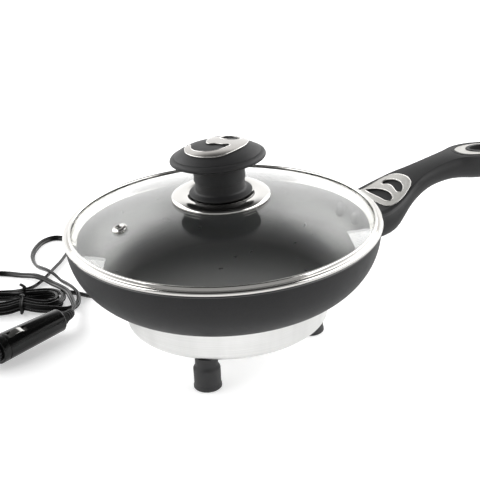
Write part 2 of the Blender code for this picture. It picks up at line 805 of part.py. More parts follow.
def make_lid():
    top = band_top
    bead_radius = lid_radius-band_width+band_bead_radius
    bead = (bead_radius, top-band_bead_radius)
    channel_top = glass_edge_top+seat_gap
    channel_low = glass_edge_top-glass_thickness-seat_gap
    channel_radius = lid_radius-glass_edge_inset+slide_gap
    roll = (lid_radius-band_roll_radius, band_bottom+band_roll_radius)
    start = math.pi-math.asin((channel_top-bead[1])/band_bead_radius)
    profile = arc(bead, band_bead_radius, start, math.radians(25), 3)
    profile.append((lid_radius-2*band_roll_radius+seat_gap, top-band_valley_depth))
    profile += arc(roll, band_roll_radius, math.radians(115), -math.pi/2, 4)
    skirt_low = band_bottom-band_skirt_depth
    profile += [(band_skirt_radius+2*band_sheet, band_bottom),
                (band_skirt_radius+band_sheet, band_bottom-band_sheet),
                (band_skirt_radius+band_sheet, skirt_low), (band_skirt_radius, skirt_low),
                (band_skirt_radius, channel_low), (channel_radius, channel_low),
                (channel_radius, channel_top)]
    turned("lid_band", profile, chrome(), parent=pan_axis)
    edge = lid_radius-glass_edge_inset
    flat = (glass_flat_radius+band_skirt_radius+2*glass_step)/2
    outer = []
    count = 5
    for k in range(count+1):
        radius = knob_hole_radius+(glass_flat_radius-knob_hole_radius)*k/count
        outer.append((radius, glass_height(radius)))
    inner = [(r, z-glass_thickness) for r, z in outer]
    profile = outer+[(flat, glass_edge_top), (edge, glass_edge_top)]
    profile += [(edge, glass_edge_top-glass_thickness), (flat, glass_edge_top-glass_thickness)]
    profile += inner[::-1]
    glass = turned("lid_glass", profile, clear_glass(), parent=pan_axis)
    axis = vent_axis()
    hole = rod("vent_hole", vent_tube_radius+slide_gap, -glass_thickness-overrun, overrun, None,
               wire_steps, parent=axis)
    cut(glass, hole)
    seat = seat_gap
    low = -glass_thickness-2*seat_gap
    rim = vent_flange_radius
    profile = [(vent_bore_radius, seat+vent_flange*0.6), (vent_bore_radius+vent_flange*0.6,
               seat+vent_flange), (rim-vent_flange, seat+vent_flange), (rim, seat+vent_flange/2),
               (rim, seat), (vent_tube_radius, seat), (vent_tube_radius, low),
               (vent_lower_flange_radius, low), (vent_lower_flange_radius, low-vent_flange*0.7),
               (vent_bore_radius, low-vent_flange*0.7)]
    turned("vent_eyelet", profile, chrome(), small_steps, parent=axis)


def make_knob_plate():
    seat = plate_seat_radius
    width = plate_radius-seat
    drops = ((0, 0), (0.35, 0.07), (0.67, 0.29), (0.9, 0.64), (1, 1))
    outer = [(seat+width*a, plate_top-plate_drop*b) for a, b in drops]
    inner = [(seat+(width-plate_sheet)*a, plate_top-plate_sheet-(plate_drop-plate_sheet)*b)
             for a, b in drops]
    rest = glass_height(plate_radius-plate_lip)+seat_gap
    hole = knob_hole_radius
    profile = [(hole, plate_top)]+outer+[(plate_radius-plate_lip/4, rest),
                                         (plate_radius-plate_lip, rest)]
    profile += inner[::-1]+[(hole, plate_top-plate_sheet)]
    turned("knob_plate", profile, chrome(), knob_steps, parent=pan_axis)
    low = glass_top+seat_gap
    high = plate_top-plate_sheet-seat_gap
    tube_between("knob_spacer", hole, spacer_radius, low, high,
                 material("clear_silicone", (0.7, 0.7, 0.68), 0.4), small_steps, parent=pan_axis)
    below = glass_top-glass_thickness
    sag = below-(glass_height(washer_radius)-glass_thickness)
    high = below-seat_gap-sag
    low = high-washer_thickness
    tube_between("knob_washer", hole, washer_radius, low, high, black_rubber(), small_steps,
                 parent=pan_axis)
    head = low-seat_gap
    bottom = head-knob_screw_head_height
    shank = knob_screw_shank_radius
    head_radius = knob_screw_head_radius
    tip = knob_base+knob_screw_reach
    recess = screw_recess_radius
    profile = [(0, tip), (shank, tip), (shank, head), (head_radius, head),
               (head_radius, bottom+knob_screw_head_height*0.4), (head_radius*0.8, bottom),
               (recess, bottom), (recess*0.6, bottom+screw_recess_depth),
               (0, bottom+screw_recess_depth)]
    turned("knob_screw", profile, zinc(), small_steps, False, parent=pan_axis)


# Height of the cap's dome over its flat underside, as shares of its height at shares of its radius
cap_shares = ((0, 1), (0.24, 0.99), (0.48, 0.935), (0.66, 0.81), (0.78, 0.63), (0.9, 0.34),
              (0.97, 0.13), (1, 0.04))


def cap_height_at(radius):
    return cap_height*along(cap_shares, min(radius/cap_radius, 1))


def make_knob():
    # Heights are over the foot of the stem, which leans a little on its plate
    frame = empty("knob_frame", (0, 0, knob_base), (0, -knob_lean, 0), photo_frame)
    ring = stem_ring_height
    depth = stem_ring_depth
    sink = 2*stem_foot_radius*math.sin(knob_lean)
    profile = [(0, stem_height+lip_top-lip_bottom-seat_gap),
               (stem_waist_radius, stem_height+lip_top-lip_bottom-seat_gap),
               (stem_waist_radius, lip_bottom), (stem_radius, lip_bottom-2*overrun),
               (stem_waist_radius, (lip_bottom+ring)/2), (stem_waist_radius+depth/2, ring+2*depth),
               (stem_waist_radius-depth, ring+depth), (stem_waist_radius-depth, ring),
               (stem_radius, ring-depth), (stem_radius+0.2*(stem_foot_radius-stem_radius),
               ring*0.55), (stem_foot_radius-depth, ring*0.25), (stem_foot_radius, ring*0.1),
               (stem_foot_radius-depth/2, 0), (stem_foot_radius-depth/2, -sink),
               (stem_bore_radius, -sink), (stem_bore_radius, stem_bore_depth),
               (0, stem_bore_depth)]
    stem = turned("knob_stem", profile, black_plastic(), knob_steps, False, parent=frame)
    slab = rod("stem_floor", plate_radius, knob_base-2*sink, knob_base, None, parent=pan_axis)
    cut(stem, slab)
    hole = stem_waist_radius+seat_gap
    height = lip_top-lip_bottom
    width = lip_radius-hole
    profile = [(hole, lip_top), (cap_radius, lip_top), (lip_radius-width*0.03, lip_top-height*0.15),
               (lip_radius, lip_top-height*0.42), (lip_radius-width*0.04, lip_top-height*0.7),
               (lip_radius-width*0.17, lip_top-height*0.93), (lip_radius-width*0.4, lip_bottom),
               (hole+width*0.1, lip_bottom-height*0.12), (hole, lip_bottom-height*0.12)]
    turned("knob_lip", profile, black_plastic(), knob_steps, parent=frame)
    seat = lip_top+seat_gap
    profile = [(cap_radius*a, seat+cap_height*b) for a, b in cap_shares]
    profile.append((0, seat))
    turned("knob_cap", profile, black_plastic(), knob_steps, False, parent=frame)
    make_inlay(frame, seat)


def disc_grid(rings, spokes):
    # A disc of unit radius: its rings are evenly spaced
    bm = bmesh.new()
    bmesh.ops.create_circle(bm, cap_ends=True, cap_tris=True, segments=spokes, radius=1)
    rim = [e for e in bm.edges if len(e.link_faces) == 2]
    bmesh.ops.subdivide_edges(bm, edges=rim, cuts=rings-1, use_grid_fill=True)
    return bm


def leaf_outline(tip, middle, radius, bend, count=14):
    # A pointed leaf: a round end about its middle, and two curved sides that meet at the tip
    tip = Vector(tip)
    middle = Vector(middle)
    line = tip-middle
    long = line.length
    ahead = line/long
    aside = Vector((-ahead.y, ahead.x))
    points = []
    for k in range(count):
        t = math.tau*k/count
        reach = (1+math.cos(t))/2
        width = radius*math.sin(t)*(1-reach**2*0.55)
        forward = -radius+(long+radius)*reach
        sway = bend*long*reach*reach
        points.append(middle+ahead*forward+aside*(width+sway))
    return [(p.x, p.y) for p in points]


# Openings of the inlay, as shares of its half length and half width, like those of the root trim
inlay_leaf_shares = (((0.62, -0.08), (-0.42, -0.1), 0.4, -0.26),
                     ((-0.42, 0.6), (0.34, 0.42), 0.25, -0.2))


def make_inlay(frame, seat):
    # The plate lies on the cap's dome, so its heights follow its places from the knob's axis
    turn = empty("inlay_frame", (0, -inlay_forward, 0), (0, 0, inlay_turn), frame)
    bm = disc_grid(3, 28)
    for v in bm.verts:
        x = v.co.x*inlay_half_length
        y = v.co.y*inlay_half_width
        across = x*math.cos(inlay_turn)-y*math.sin(inlay_turn)
        back = x*math.sin(inlay_turn)+y*math.cos(inlay_turn)-inlay_forward
        v.co = (x, y, seat+cap_height_at(math.hypot(across, back))+seat_gap)
    inlay = mesh_object("knob_inlay", bm, chrome(), parent=turn)
    solid = inlay.modifiers.new("thickness", "SOLIDIFY")
    solid.thickness = inlay_thickness
    solid.offset = 1
    for k, (tip, middle, end, sway) in enumerate(inlay_leaf_shares):
        ends = [(inlay_half_length*a, inlay_half_width*b) for a, b in (tip, middle)]
        outline = leaf_outline(*ends, inlay_half_width*end, sway)
        leaf = prism(f"inlay_leaf_{k+1}", outline, seat, seat+2*cap_height, None, parent=turn)
        cut(inlay, leaf)


# Outline of the grip at shares of its length: how high its top is over its height at the root, as
# shares of its rise, how far its bottom is below that height, as shares of its depth, and its half
# width, as shares of the widest
grip_top_shares = ((0, 0), (0.083, 0.016), (0.172, 0.158), (0.271, 0.342), (0.37, 0.595),
                   (0.474, 0.763), (0.573, 0.9), (0.641, 0.995), (0.719, 0.995), (0.792, 0.905),
                   (0.865, 0.737), (0.938, 0.474), (1, 0.211))
grip_bottom_shares = ((0, 0.841), (0.042, 0.937), (0.083, 0.987), (0.135, 1), (0.203, 0.968),
                      (0.24, 0.873), (0.271, 0.67), (0.307, 0.429), (0.352, 0.238),
                      (0.396, 0.111), (0.453, 0.029), (0.526, 0.003), (0.583, 0.038),
                      (0.667, 0.146), (0.76, 0.21), (0.854, 0.197), (0.938, 0.095), (1, -0.032))
grip_width_shares = ((0, 0.977), (0.083, 1), (0.188, 0.977), (0.271, 0.877), (0.354, 0.736),
                     (0.448, 0.636), (0.552, 0.664), (0.656, 0.773), (0.76, 0.845),
                     (0.854, 0.818), (0.927, 0.682), (0.974, 0.464), (1, 0.236))
grip_station_shares = (0, 0.052, 0.115, 0.177, 0.224, 0.271, 0.318, 0.37, 0.438, 0.516, 0.594,
                       0.667, 0.74, 0.813, 0.875, 0.932, 0.974, 1)
# Half a section, as shares: of the half width across, of the crown down from the top, and of the
# side down from the edge of the top
section_shares = ((0, 0, 0), (0.45, 0.2, 0), (0.8, 0.64, 0), (0.95, 0.9, 0), (1, 1, 0.08),
                  (0.98, 1, 0.38), (0.91, 1, 0.72), (0.68, 1, 0.95), (0.35, 1, 1), (0, 1, 1))


def grip_sizes(x):
    # Height of the ridge, drop of its edges, height of the bottom and half width, x from the axis
    share = (x-grip_start)/(handle_reach-grip_start)
    root = pan_top-grip_drop
    ridge = root+grip_rise*along(grip_top_shares, share)
    bottom = root-grip_depth*along(grip_bottom_shares, share)
    width_share = along(grip_width_shares, share)
    crown = grip_crown*min(width_share/grip_full_crown_share, 1)
    return ridge, crown, bottom, grip_half_width*width_share


def grip_top(x, y):
    ridge, crown, _, half = grip_sizes(x)
    return ridge-crown*min(abs(y)/half, 1)**2


def grip_ring(x):
    top, crown, bottom, half = grip_sizes(x)
    side = top-crown-bottom
    right = [(x, half*a, top-crown*b-side*c) for a, b, c in section_shares]
    left = [(x, -y, z) for x, y, z in right[1:-1]]
    return right+left[::-1]


def surface_patch(name, surface, across, starts, end, low, thickness, margin, **where):
    # A plate of even thickness that follows the top of the grip: across gives half its width at a
    # share of its length, and starts gives where it begins at a place across
    bm = bmesh.new()
    bmesh.ops.create_grid(bm, x_segments=8, y_segments=4, size=1)
    for v in bm.verts:
        share = (v.co.x+1)/2
        y = v.co.y*(across(share)+margin)
        start = starts(y)-margin
        x = start+(end+margin-start)*share
        v.co = (x, y, grip_top(x, y)+low)
    made = mesh_object(name, bm, surface, **where)
    solid = made.modifiers.new("thickness", "SOLIDIFY")
    solid.thickness = thickness
    solid.offset = 1
    return made


def root_trim_across(share):
    # Nearly straight sides, and a round far end
    shoulder = 0.4
    if share < shoulder:
        return root_trim_half_width
    t = (share-shoulder)/(1-shoulder)
    return root_trim_half_width*max(1-t**1.8, 0.02)**0.5


def root_trim_begins(y):
    return math.sqrt(root_trim_start**2-y**2)


def end_trim_across(share):
    t = 2*share-1
    return end_trim_half_width*max(1-abs(t)**2.2, 0.02)**0.5


def end_trim_begins(y):
    return end_trim_middle-end_trim_half_length


def oval(middle, half_length, half_width, count=24):
    points = []
    for k in range(count):
        t = math.tau*(k+1/2)/count
        points.append((middle+half_length*math.cos(t), half_width*math.sin(t)))
    return points


def wall_patch(name, surface, low, high, margin, **where):
    # A piece of even thickness round the outside of the pan's wall, from low to high over the wall
    bm = bmesh.new()
    bmesh.ops.create_grid(bm, x_segments=6, y_segments=4, size=1)
    half = bracket_half_angle+margin/pan_rim_radius
    middle = (bracket_top_angle+bracket_low_angle)/2
    reach = (bracket_low_angle-bracket_top_angle)/2+margin/pan_side_radius
    for v in bm.verts:
        azimuth = v.co.x*half
        out, height = pan_surface(middle-v.co.y*reach, low)
        v.co = (out*math.cos(azimuth), out*math.sin(azimuth), height)
    made = mesh_object(name, bm, surface, **where)
    solid = made.modifiers.new("thickness", "SOLIDIFY")
    solid.thickness = high-low
    solid.offset = 1
    return made


def make_bracket():
    bracket = wall_patch("handle_bracket", zinc(), seat_gap, seat_gap+bracket_sheet, 0,
                         parent=pan_axis)
    angle = math.asin((pan_centre_height-tongue_height)/pan_side_radius)
    begin = pan_surface(angle, seat_gap+bracket_sheet/2)[0]
    size = (tongue_end-begin, 2*tongue_half_width, tongue_thickness)
    tongue = block("bracket_tongue", size, ((begin+tongue_end)/2, 0, tongue_height), None,
                   parent=pan_axis)
    cut(bracket, tongue, "UNION")
    for k, frame in enumerate(rivet_cutter_frames):
        hole = rod(f"bracket_hole_{k+1}", rivet_shank_radius+seat_gap, -pan_wall,
                   bracket_sheet+overrun, None, wire_steps, parent=frame)
        cut(bracket, hole)
    hole = rod("tongue_hole", screw_shank_radius+seat_gap, tongue_height-tongue_thickness,
               tongue_height+tongue_thickness, None, wire_steps, parent=pan_axis,
               location=(handle_screw_place, 0, 0))
    cut(bracket, hole)


def make_grip():
    length = handle_reach-grip_start
    rings = [grip_ring(grip_start+length*share) for share in grip_station_shares]
    grip = loft("handle_grip", rings, black_plastic(), parent=pan_axis)
    profile = [(0, pan_top+overrun), (pan_rim_radius+grip_pan_gap, pan_top+overrun)]
    profile += pan_underside(grip_pan_gap, 8)
    profile.append((0, pan_bottom-grip_pan_gap))
    room = turned("pan_room", profile, None, ring=False, parent=pan_axis)
    cut(grip, room)
    deep = bracket_sheet+rivet_tail_height+4*seat_gap
    room = wall_patch("bracket_room", None, -overrun, deep, 2*seat_gap, parent=pan_axis)
    cut(grip, room)
    begin = pan_rim_radius-pan_side_radius*0.2
    size = (tongue_end+seat_gap-begin, 2*(tongue_half_width+seat_gap),
            tongue_thickness+2*seat_gap)
    slot = block("tongue_room", size, ((tongue_end+seat_gap+begin)/2, 0, tongue_height), None,
                 parent=pan_axis)
    cut(grip, slot)
    where = (handle_screw_place, 0, 0)
    bore = screw_shank_radius+seat_gap
    wide = screw_head_radius+slide_gap
    profile = [(0, handle_screw_tip+seat_gap), (bore, handle_screw_tip+seat_gap),
               (bore, handle_screw_seat), (wide, handle_screw_seat), (wide, pan_bottom),
               (0, pan_bottom)]
    room = turned("handle_screw_room", profile, None, small_steps, False, parent=pan_axis,
                  location=where, rotation=(0, 0, math.pi/small_steps))
    cut(grip, room)
    sink = root_trim_thickness-root_trim_proud+seat_gap
    room = surface_patch("root_trim_room", None, root_trim_across, root_trim_begins, root_trim_end,
                         -sink, sink+overrun, seat_gap, parent=pan_axis)
    cut(grip, room)
    sink = end_trim_thickness+end_trim_sink+seat_gap
    room = surface_patch("end_trim_room", None, end_trim_across, end_trim_begins,
                         end_trim_middle+end_trim_half_length, -sink, sink+overrun, seat_gap,
                         parent=pan_axis)
    high = handle_reach
    ring = prism("hang_ring", oval(end_trim_middle, hang_ring_half_length, hang_ring_half_width),
                 0, high, None, parent=pan_axis)
    cut(room, ring)
    cut(grip, room)
    hole = prism("hang_hole", oval(end_trim_middle, hang_hole_half_length, hang_hole_half_width),
                 0, high, None, parent=pan_axis)
    cut(grip, hole)
    top = handle_screw_seat-seat_gap
    low = top-screw_head_height
    tip = handle_screw_tip-seat_gap
    profile = [(0, tip), (screw_shank_radius, tip), (screw_shank_radius, top),
               (screw_head_radius, top), (screw_head_radius, low+screw_head_height*0.3),
               (screw_head_radius*0.8, low), (screw_recess_radius, low),
               (screw_recess_radius*0.6, low+screw_recess_depth), (0, low+screw_recess_depth)]
    turned("handle_screw", profile, zinc(), wire_steps, False, parent=pan_axis, location=where)


# Openings of the root trim, as shares of its length and of its half width: the tip, the middle of
# the round end, the radius of that end, and how far the tip sways, as a share of the leaf's length
trim_leaf_shares = (((0.287, 0.475), (0.408, -0.6), 0.205, -0.12),
                    ((0.609, 0.47), (0.725, -0.37), 0.22, -0.1))


def make_trims():
    trim = surface_patch("handle_root_trim", satin_steel(), root_trim_across, root_trim_begins,
                         root_trim_end, root_trim_proud-root_trim_thickness, root_trim_thickness, 0,
                         parent=pan_axis)
    long = root_trim_end-root_trim_start
    wide = root_trim_half_width
    for k, (tip, middle, end, sway) in enumerate(trim_leaf_shares):
        ends = [(root_trim_start+long*a, wide*b) for a, b in (tip, middle)]
        outline = leaf_outline(*ends, wide*end, sway)
        leaf = prism(f"trim_leaf_{k+1}", outline, 0, handle_reach, None, parent=pan_axis)
        cut(trim, leaf)
    trim = surface_patch("handle_end_trim", satin_steel(), end_trim_across, end_trim_begins,
                         end_trim_middle+end_trim_half_length, -end_trim_sink-end_trim_thickness,
                         end_trim_thickness, 0, parent=pan_axis)
    ring = prism("trim_hole", oval(end_trim_middle, hang_ring_half_length+seat_gap,
                 hang_ring_half_width+seat_gap), 0, handle_reach, None, parent=pan_axis)
    cut(trim, ring)


def plug_frame():
    # Z runs from the rear of the plug to its nose, and X out through the upper side contact
    nose = Vector((-math.cos(plug_azimuth), -math.sin(plug_azimuth), 0))
    side = Vector((math.sin(plug_azimuth), -math.cos(plug_azimuth), 0))
    up = Vector((0, 0, math.cos(plug_contact_tilt)))+side*math.sin(plug_contact_tilt)
    across = nose.cross(up)
    reach = contact_base+contact_bulge+contact_sheet/2
    height = reach*math.cos(plug_contact_tilt)+contact_width/2*math.sin(plug_contact_tilt)+seat_gap
    turn = Matrix((up, across, nose)).transposed()
    where = plug_place+Vector((0, 0, height))
    frame = empty("plug_frame", where, turn.to_euler(), photo_frame)
    return frame, height


def make_plug_shells(frame):
    bore = plug_bore_radius
    edge = plug_edge
    profile = [(0, plug_bore_start), (bore, plug_bore_start), (bore, plug_length),
               (plug_front_radius-edge, plug_length), (plug_front_radius, plug_length-edge),
               (plug_rear_radius, edge), (plug_rear_radius-edge, 0), (0, 0)]
    reach = 2*plug_front_radius
    for name, side in (("plug_upper_shell", 1), ("plug_lower_shell", -1)):
        shell = turned(name, profile, black_plastic(), small_steps, False, parent=frame)
        middle = -side*(reach/2-seat_gap/2)
        half = block(f"{name}_half", (reach, 2*reach, 2*plug_length), (middle, 0, plug_length/2),
                     None, parent=frame)
        cut(shell, half)
        slot = block(f"{name}_slot", (plug_front_radius, contact_width+2*seat_gap,
                     contact_length+2*slide_gap),
                     (side*(slot_floor+plug_front_radius/2), 0, contact_start+contact_length/2),
                     None, parent=frame)
        cut(shell, slot)


def make_plug_contacts(frame):
    for k, side in enumerate((1, -1)):
        bm = bmesh.new()
        bmesh.ops.create_grid(bm, x_segments=8, y_segments=1, size=1)
        for v in bm.verts:
            share = (v.co.x+1)/2
            rise = contact_bulge*math.sin(math.pi*share)**1.5
            z = contact_start+contact_length*share
            v.co = (side*(contact_base+rise), v.co.y*contact_width/2, z)
        bmesh.ops.recalc_face_normals(bm, faces=bm.faces)
        made = mesh_object(f"plug_contact_{k+1}", bm, chrome(), parent=frame)
        solid = made.modifiers.new("thickness", "SOLIDIFY")
        solid.thickness = contact_sheet
        solid.offset = 0


def make_plug_nose(frame):
    start = plug_length+seat_gap
    end = start+nose_length
    shoulder = start+nose_shoulder
    profile = [(nose_front_bore, end), (nose_end_radius-plug_edge, end),
               (nose_end_radius, end-plug_edge), (nose_radius, start+nose_length*0.4),
               (nose_radius, start), (nose_rear_bore, start), (nose_rear_bore, shoulder),
               (nose_front_bore, shoulder)]
    turned("plug_nose_cap", profile, black_plastic(), small_steps, parent=frame)
    flange_top = shoulder-seat_gap
    flange_low = flange_top-tip_flange
    point = end+tip_reach
    profile = [(0, point), (tip_radius*0.6, point-tip_radius*0.15),
               (tip_radius, point-tip_radius*0.8), (tip_radius, flange_top),
               (tip_flange_radius, flange_top), (tip_flange_radius, flange_low), (0, flange_low)]
    turned("plug_tip", profile, chrome(), small_steps, False, parent=frame)
    high = flange_low-seat_gap
    low = high-glass_fuse_length
    cap = glass_fuse_cap
    profile = [(0, high), (glass_fuse_cap_radius, high), (glass_fuse_cap_radius, high-cap),
               (glass_fuse_radius, high-cap), (glass_fuse_radius, low+cap),
               (glass_fuse_cap_radius, low+cap), (glass_fuse_cap_radius, low), (0, low)]
    turned("plug_fuse", profile, zinc(), wire_steps, False, parent=frame)
    bottom = plug_bore_start+seat_gap+spring_wire_radius
    top = low-seat_gap-spring_wire_radius
    per_turn = 8
    points = []
    for k in range(spring_turns*per_turn+1):
        angle = math.tau*k/per_turn
        share = k/(spring_turns*per_turn)
        points.append((spring_radius*math.cos(angle), spring_radius*math.sin(angle),
                       bottom+(top-bottom)*share))
    wire("plug_spring", points, spring_wire_radius, zinc(), 1, parent=frame)
    coil_gap = (top-bottom)/spring_turns-2*spring_wire_radius
    print(f"Least gap of the plug spring to itself: {coil_gap*1000:.2f} mm")


# Strain relief of the plug, as shares of its length behind the plug and to its left
relief_shares = ((0, 0), (0.25, 0), (0.55, 0.08), (0.8, 0.2), (1, 0.36))


def make_relief(height):
    along_plug = Vector((math.cos(plug_azimuth), math.sin(plug_azimuth), 0))
    aside = Vector((-along_plug.y, along_plug.x, 0))
    start = plug_place+Vector((0, 0, height))+along_plug*seat_gap
    points = [start+along_plug*relief_length*a+aside*relief_length*b for a, b in relief_shares]
    drop = (height-cord_radius)*0.25
    for k, point in enumerate(points):
        point.z -= drop*(k/(len(points)-1))**2
    radii = [relief_radius+(relief_end_radius-relief_radius)*a for a, _ in relief_shares]
    wire("plug_relief", points, relief_radius, black_rubber(), 2, radii=radii,
         parent=photo_frame)
    return points[-1], (points[-1]-points[-2]).normalized()


# The free stretch from the hank to the plug, in the cord's frame: out of the hank, up round a
# loose loop, back under itself, along the hank, round, and over itself to the plug
tail_points = (
    (-0.1425, 0.0702, 0.0062), (-0.1350, 0.0722, 0.0042), (-0.1290, 0.0760, 0.0028),
    (-0.1248, 0.0820, 0.0024), (-0.1228, 0.0900, 0.0034), (-0.1240, 0.0982, 0.0060),
    (-0.1282, 0.1065, 0.0070), (-0.1330, 0.1150, 0.0064),
    (-0.1400, 0.1265, 0.0052), (-0.1470, 0.1370, 0.0070), (-0.1530, 0.1445, 0.0073),
    (-0.1585, 0.1525, 0.0058), (-0.1630, 0.1615, 0.0034), (-0.1673, 0.1735, 0.0024),
    (-0.1696, 0.1875, 0.0023), (-0.1680, 0.2030, 0.0023), (-0.1621, 0.2180, 0.0023),
    (-0.1535, 0.2243, 0.0023), (-0.1445, 0.2220, 0.0023), (-0.1380, 0.2130, 0.0023),
    (-0.1372, 0.2000, 0.0023), (-0.1398, 0.1875, 0.0023), (-0.1440, 0.1710, 0.0023),
    (-0.1497, 0.1550, 0.0023), (-0.1540, 0.1420, 0.0023), (-0.1590, 0.1300, 0.0023),
    (-0.1660, 0.1205, 0.0023), (-0.1760, 0.1162, 0.0023), (-0.1900, 0.1155, 0.0023),
    (-0.2050, 0.1155, 0.0023), (-0.2190, 0.1175, 0.0023), (-0.2300, 0.1235, 0.0023),
    (-0.2350, 0.1340, 0.0023), (-0.2310, 0.1450, 0.0023), (-0.2205, 0.1515, 0.0023),
    (-0.2080, 0.1540, 0.0023), (-0.1955, 0.1538, 0.0023), (-0.1862, 0.1516, 0.0023),
    (-0.1770, 0.1466, 0.0030), (-0.1690, 0.1400, 0.0052), (-0.1620, 0.1335, 0.0072),
    (-0.1550, 0.1285, 0.0069), (-0.1475, 0.1212, 0.0058), (-0.1396, 0.1105, 0.0068),
    (-0.1328, 0.1004, 0.0070), (-0.1292, 0.0890, 0.0069), (-0.1266, 0.0785, 0.0073),
    (-0.1252, 0.0670, 0.0082))

# The free stretch from the gland to the hank, in the same frame
lead_points = (
    (-0.0850, 0.0713, 0.0335), (-0.0920, 0.0775, 0.0250), (-0.0985, 0.0840, 0.0150),
    (-0.1055, 0.0905, 0.0068), (-0.1130, 0.0968, 0.0030), (-0.1205, 0.1024, 0.0023),
    (-0.1285, 0.1068, 0.0023), (-0.1365, 0.1087, 0.0023), (-0.1430, 0.1080, 0.0023))


def tube_route(start, start_way, middle, end, end_way):
    # A smooth route through the middle points, with both ends straight and square
    reach = 2*cord_radius
    inner = [start+start_way*reach]+[Vector(p) for p in middle]+[end-end_way*reach]
    points, total = smooth_route(inner, cord_step)
    return [start]+points+[end], total+2*reach


def hank_points():
    # Loops that spiral in on the lower layer and out again on the upper one: each half turn is a
    # run and a fold, and the climb is along a run
    runs = len(hank_run_shares)
    half_turn = runs+hank_points_per_fold
    left = hank_right-hank_run
    points = []
    for k in range(round(2*half_turn*hank_end)+1):
        turn = k/(2*half_turn)
        reach = hank_outer-hank_pitch*min(turn, 2*hank_reversal-turn)
        back = k//half_turn % 2
        step = k % half_turn
        side = -1 if back else 1
        first, second = (left, hank_right) if back else (hank_right, left)
        if step < runs:
            share = hank_run_shares[step]
            if back and step:
                share = 1-hank_run_shares[-step]
            x = first+(second-first)*share
            y = side*reach
        else:
            angle = math.pi*(step-runs)/hank_points_per_fold
            x = second-side*reach*math.sin(angle)
            y = side*reach*math.cos(angle)
        near = math.exp(-((x-tie_place)/tie_spread)**2)
        y -= math.copysign(tie_pull*near, y)
        climbed = (turn-math.floor(hank_reversal))*2*half_turn/runs
        z = cord_floor+hank_layer*min(max(climbed, 0), 1)+tie_lift*near
        points.append(Vector((x, hank_middle+y, z)))
    return points


def least_gap(points, radius):
    # Between stretches of one tube that lie more than a few radii apart along it
    fine = []
    for p, q in zip(points, points[1:]):
        count = max(1, round((q-p).length/radius))
        fine += [p.lerp(q, i/count) for i in range(count)]
    passed = [0]
    for p, q in zip(fine, fine[1:]):
        passed.append(passed[-1]+(q-p).length)
    least = math.inf
    for i, p in enumerate(fine):
        for j in range(i+1, len(fine)):
            if passed[j]-passed[i] > 8*radius:
                least = min(least, (fine[j]-p).length)
    return least-2*radius


def make_cord(axis_out, axis_height, slope, relief_end, relief_way):
    turn = gland_azimuth-cord_turn
    out = Vector((math.cos(turn)*math.cos(slope), math.sin(turn)*math.cos(slope), -math.sin(slope)))
    wall = Vector((math.cos(turn)*axis_out, math.sin(turn)*axis_out, axis_height))
    exit_point = wall+out*(gland_nose_length+seat_gap)
    hank = hank_points()
    start_way = (hank[1]-hank[0]).normalized()
    end_way = (hank[-1]-hank[-2]).normalized()
    lead, lead_length = tube_route(exit_point, out, lead_points, hank[0]-start_way*seat_gap,
                                   start_way)
    wire("cord_lead", lead, cord_radius, black_rubber(), parent=photo_frame)
    wire("cord_hank", hank, cord_radius, black_rubber(), 1, parent=photo_frame)
    hank_length = sum((q-p).length for p, q in zip(hank, hank[1:]))
    tail, tail_length = tube_route(hank[-1]+end_way*seat_gap, end_way, tail_points,
                                   relief_end+relief_way*seat_gap, -relief_way)
    wire("cord_tail", tail, cord_radius, black_rubber(), parent=photo_frame)
    print(f"Least gap of the hank to itself: {least_gap(hank, cord_radius)*1000:.2f} mm")
    print(f"Least gap of the tail to itself: {least_gap(tail, cord_radius)*1000:.2f} mm")
    print(f"Cord: lead {lead_length:.3f}, hank {hank_length:.3f}, tail {tail_length:.3f} m")


def make_tie():
    # A wire bent round the hank at its waist, with its two ends twisted up
    inner = hank_outer-hank_pitch*hank_reversal
    widest = inner+hank_pitch*(hank_end-hank_reversal)
    half = max(widest, hank_outer)-tie_pull+cord_radius+tie_wire_radius+6*seat_gap
    low = tie_wire_radius+seat_gap/2
    high = cord_floor+hank_layer+tie_lift+cord_radius+tie_wire_radius+6*seat_gap
    middle = (low+high)/2
    tall = (high-low)/2
    points = []
    count = 30
    ear = 3*tie_wire_radius
    for k in range(count+1):
        t = math.radians(100)+math.radians(340)*k/count
        y = math.copysign(abs(math.cos(t))**0.5, math.cos(t))*half
        z = math.copysign(abs(math.sin(t))**0.5, math.sin(t))*tall
        points.append(Vector((tie_place, hank_middle+y, middle+z)))
    first = points[0]
    last = points[-1]
    rise = 6*tie_wire_radius
    points.insert(0, first+Vector((0, 0, rise/2)))
    points.insert(0, first+Vector((ear, -ear, rise)))
    points.append(last+Vector((0, 0, rise/2)))
    points.append(last+Vector((-ear, ear, rise)))
    wire("cord_tie", points, tie_wire_radius, black_rubber(), 1, parent=photo_frame)


rivet_cutter_frames = rivet_frames()
make_pan(rivet_cutter_frames)
make_rivets(rivet_cutter_frames)
base_shell = make_base()
make_feet()
thermostat_bottom = make_heater()
gland, gland_out, gland_height, gland_slope = gland_axis()
gland_inner = make_gland(base_shell, gland)
make_wiring(gland_inner, gland_out, gland_height, gland_slope, thermostat_bottom)
make_lid()
make_knob_plate()
make_knob()
make_bracket()
make_grip()
make_trims()
plug, plug_height = plug_frame()
make_plug_shells(plug)
make_plug_contacts(plug)
make_plug_nose(plug)
relief_point, relief_direction = make_relief(plug_height)
make_cord(gland_out, gland_height, gland_slope, relief_point, relief_direction)
make_tie()
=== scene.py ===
# An electric frying pan with a glass lid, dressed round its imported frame. Metres, +Z up.
import math

import bmesh
import bpy
from mathutils import Matrix, Vector


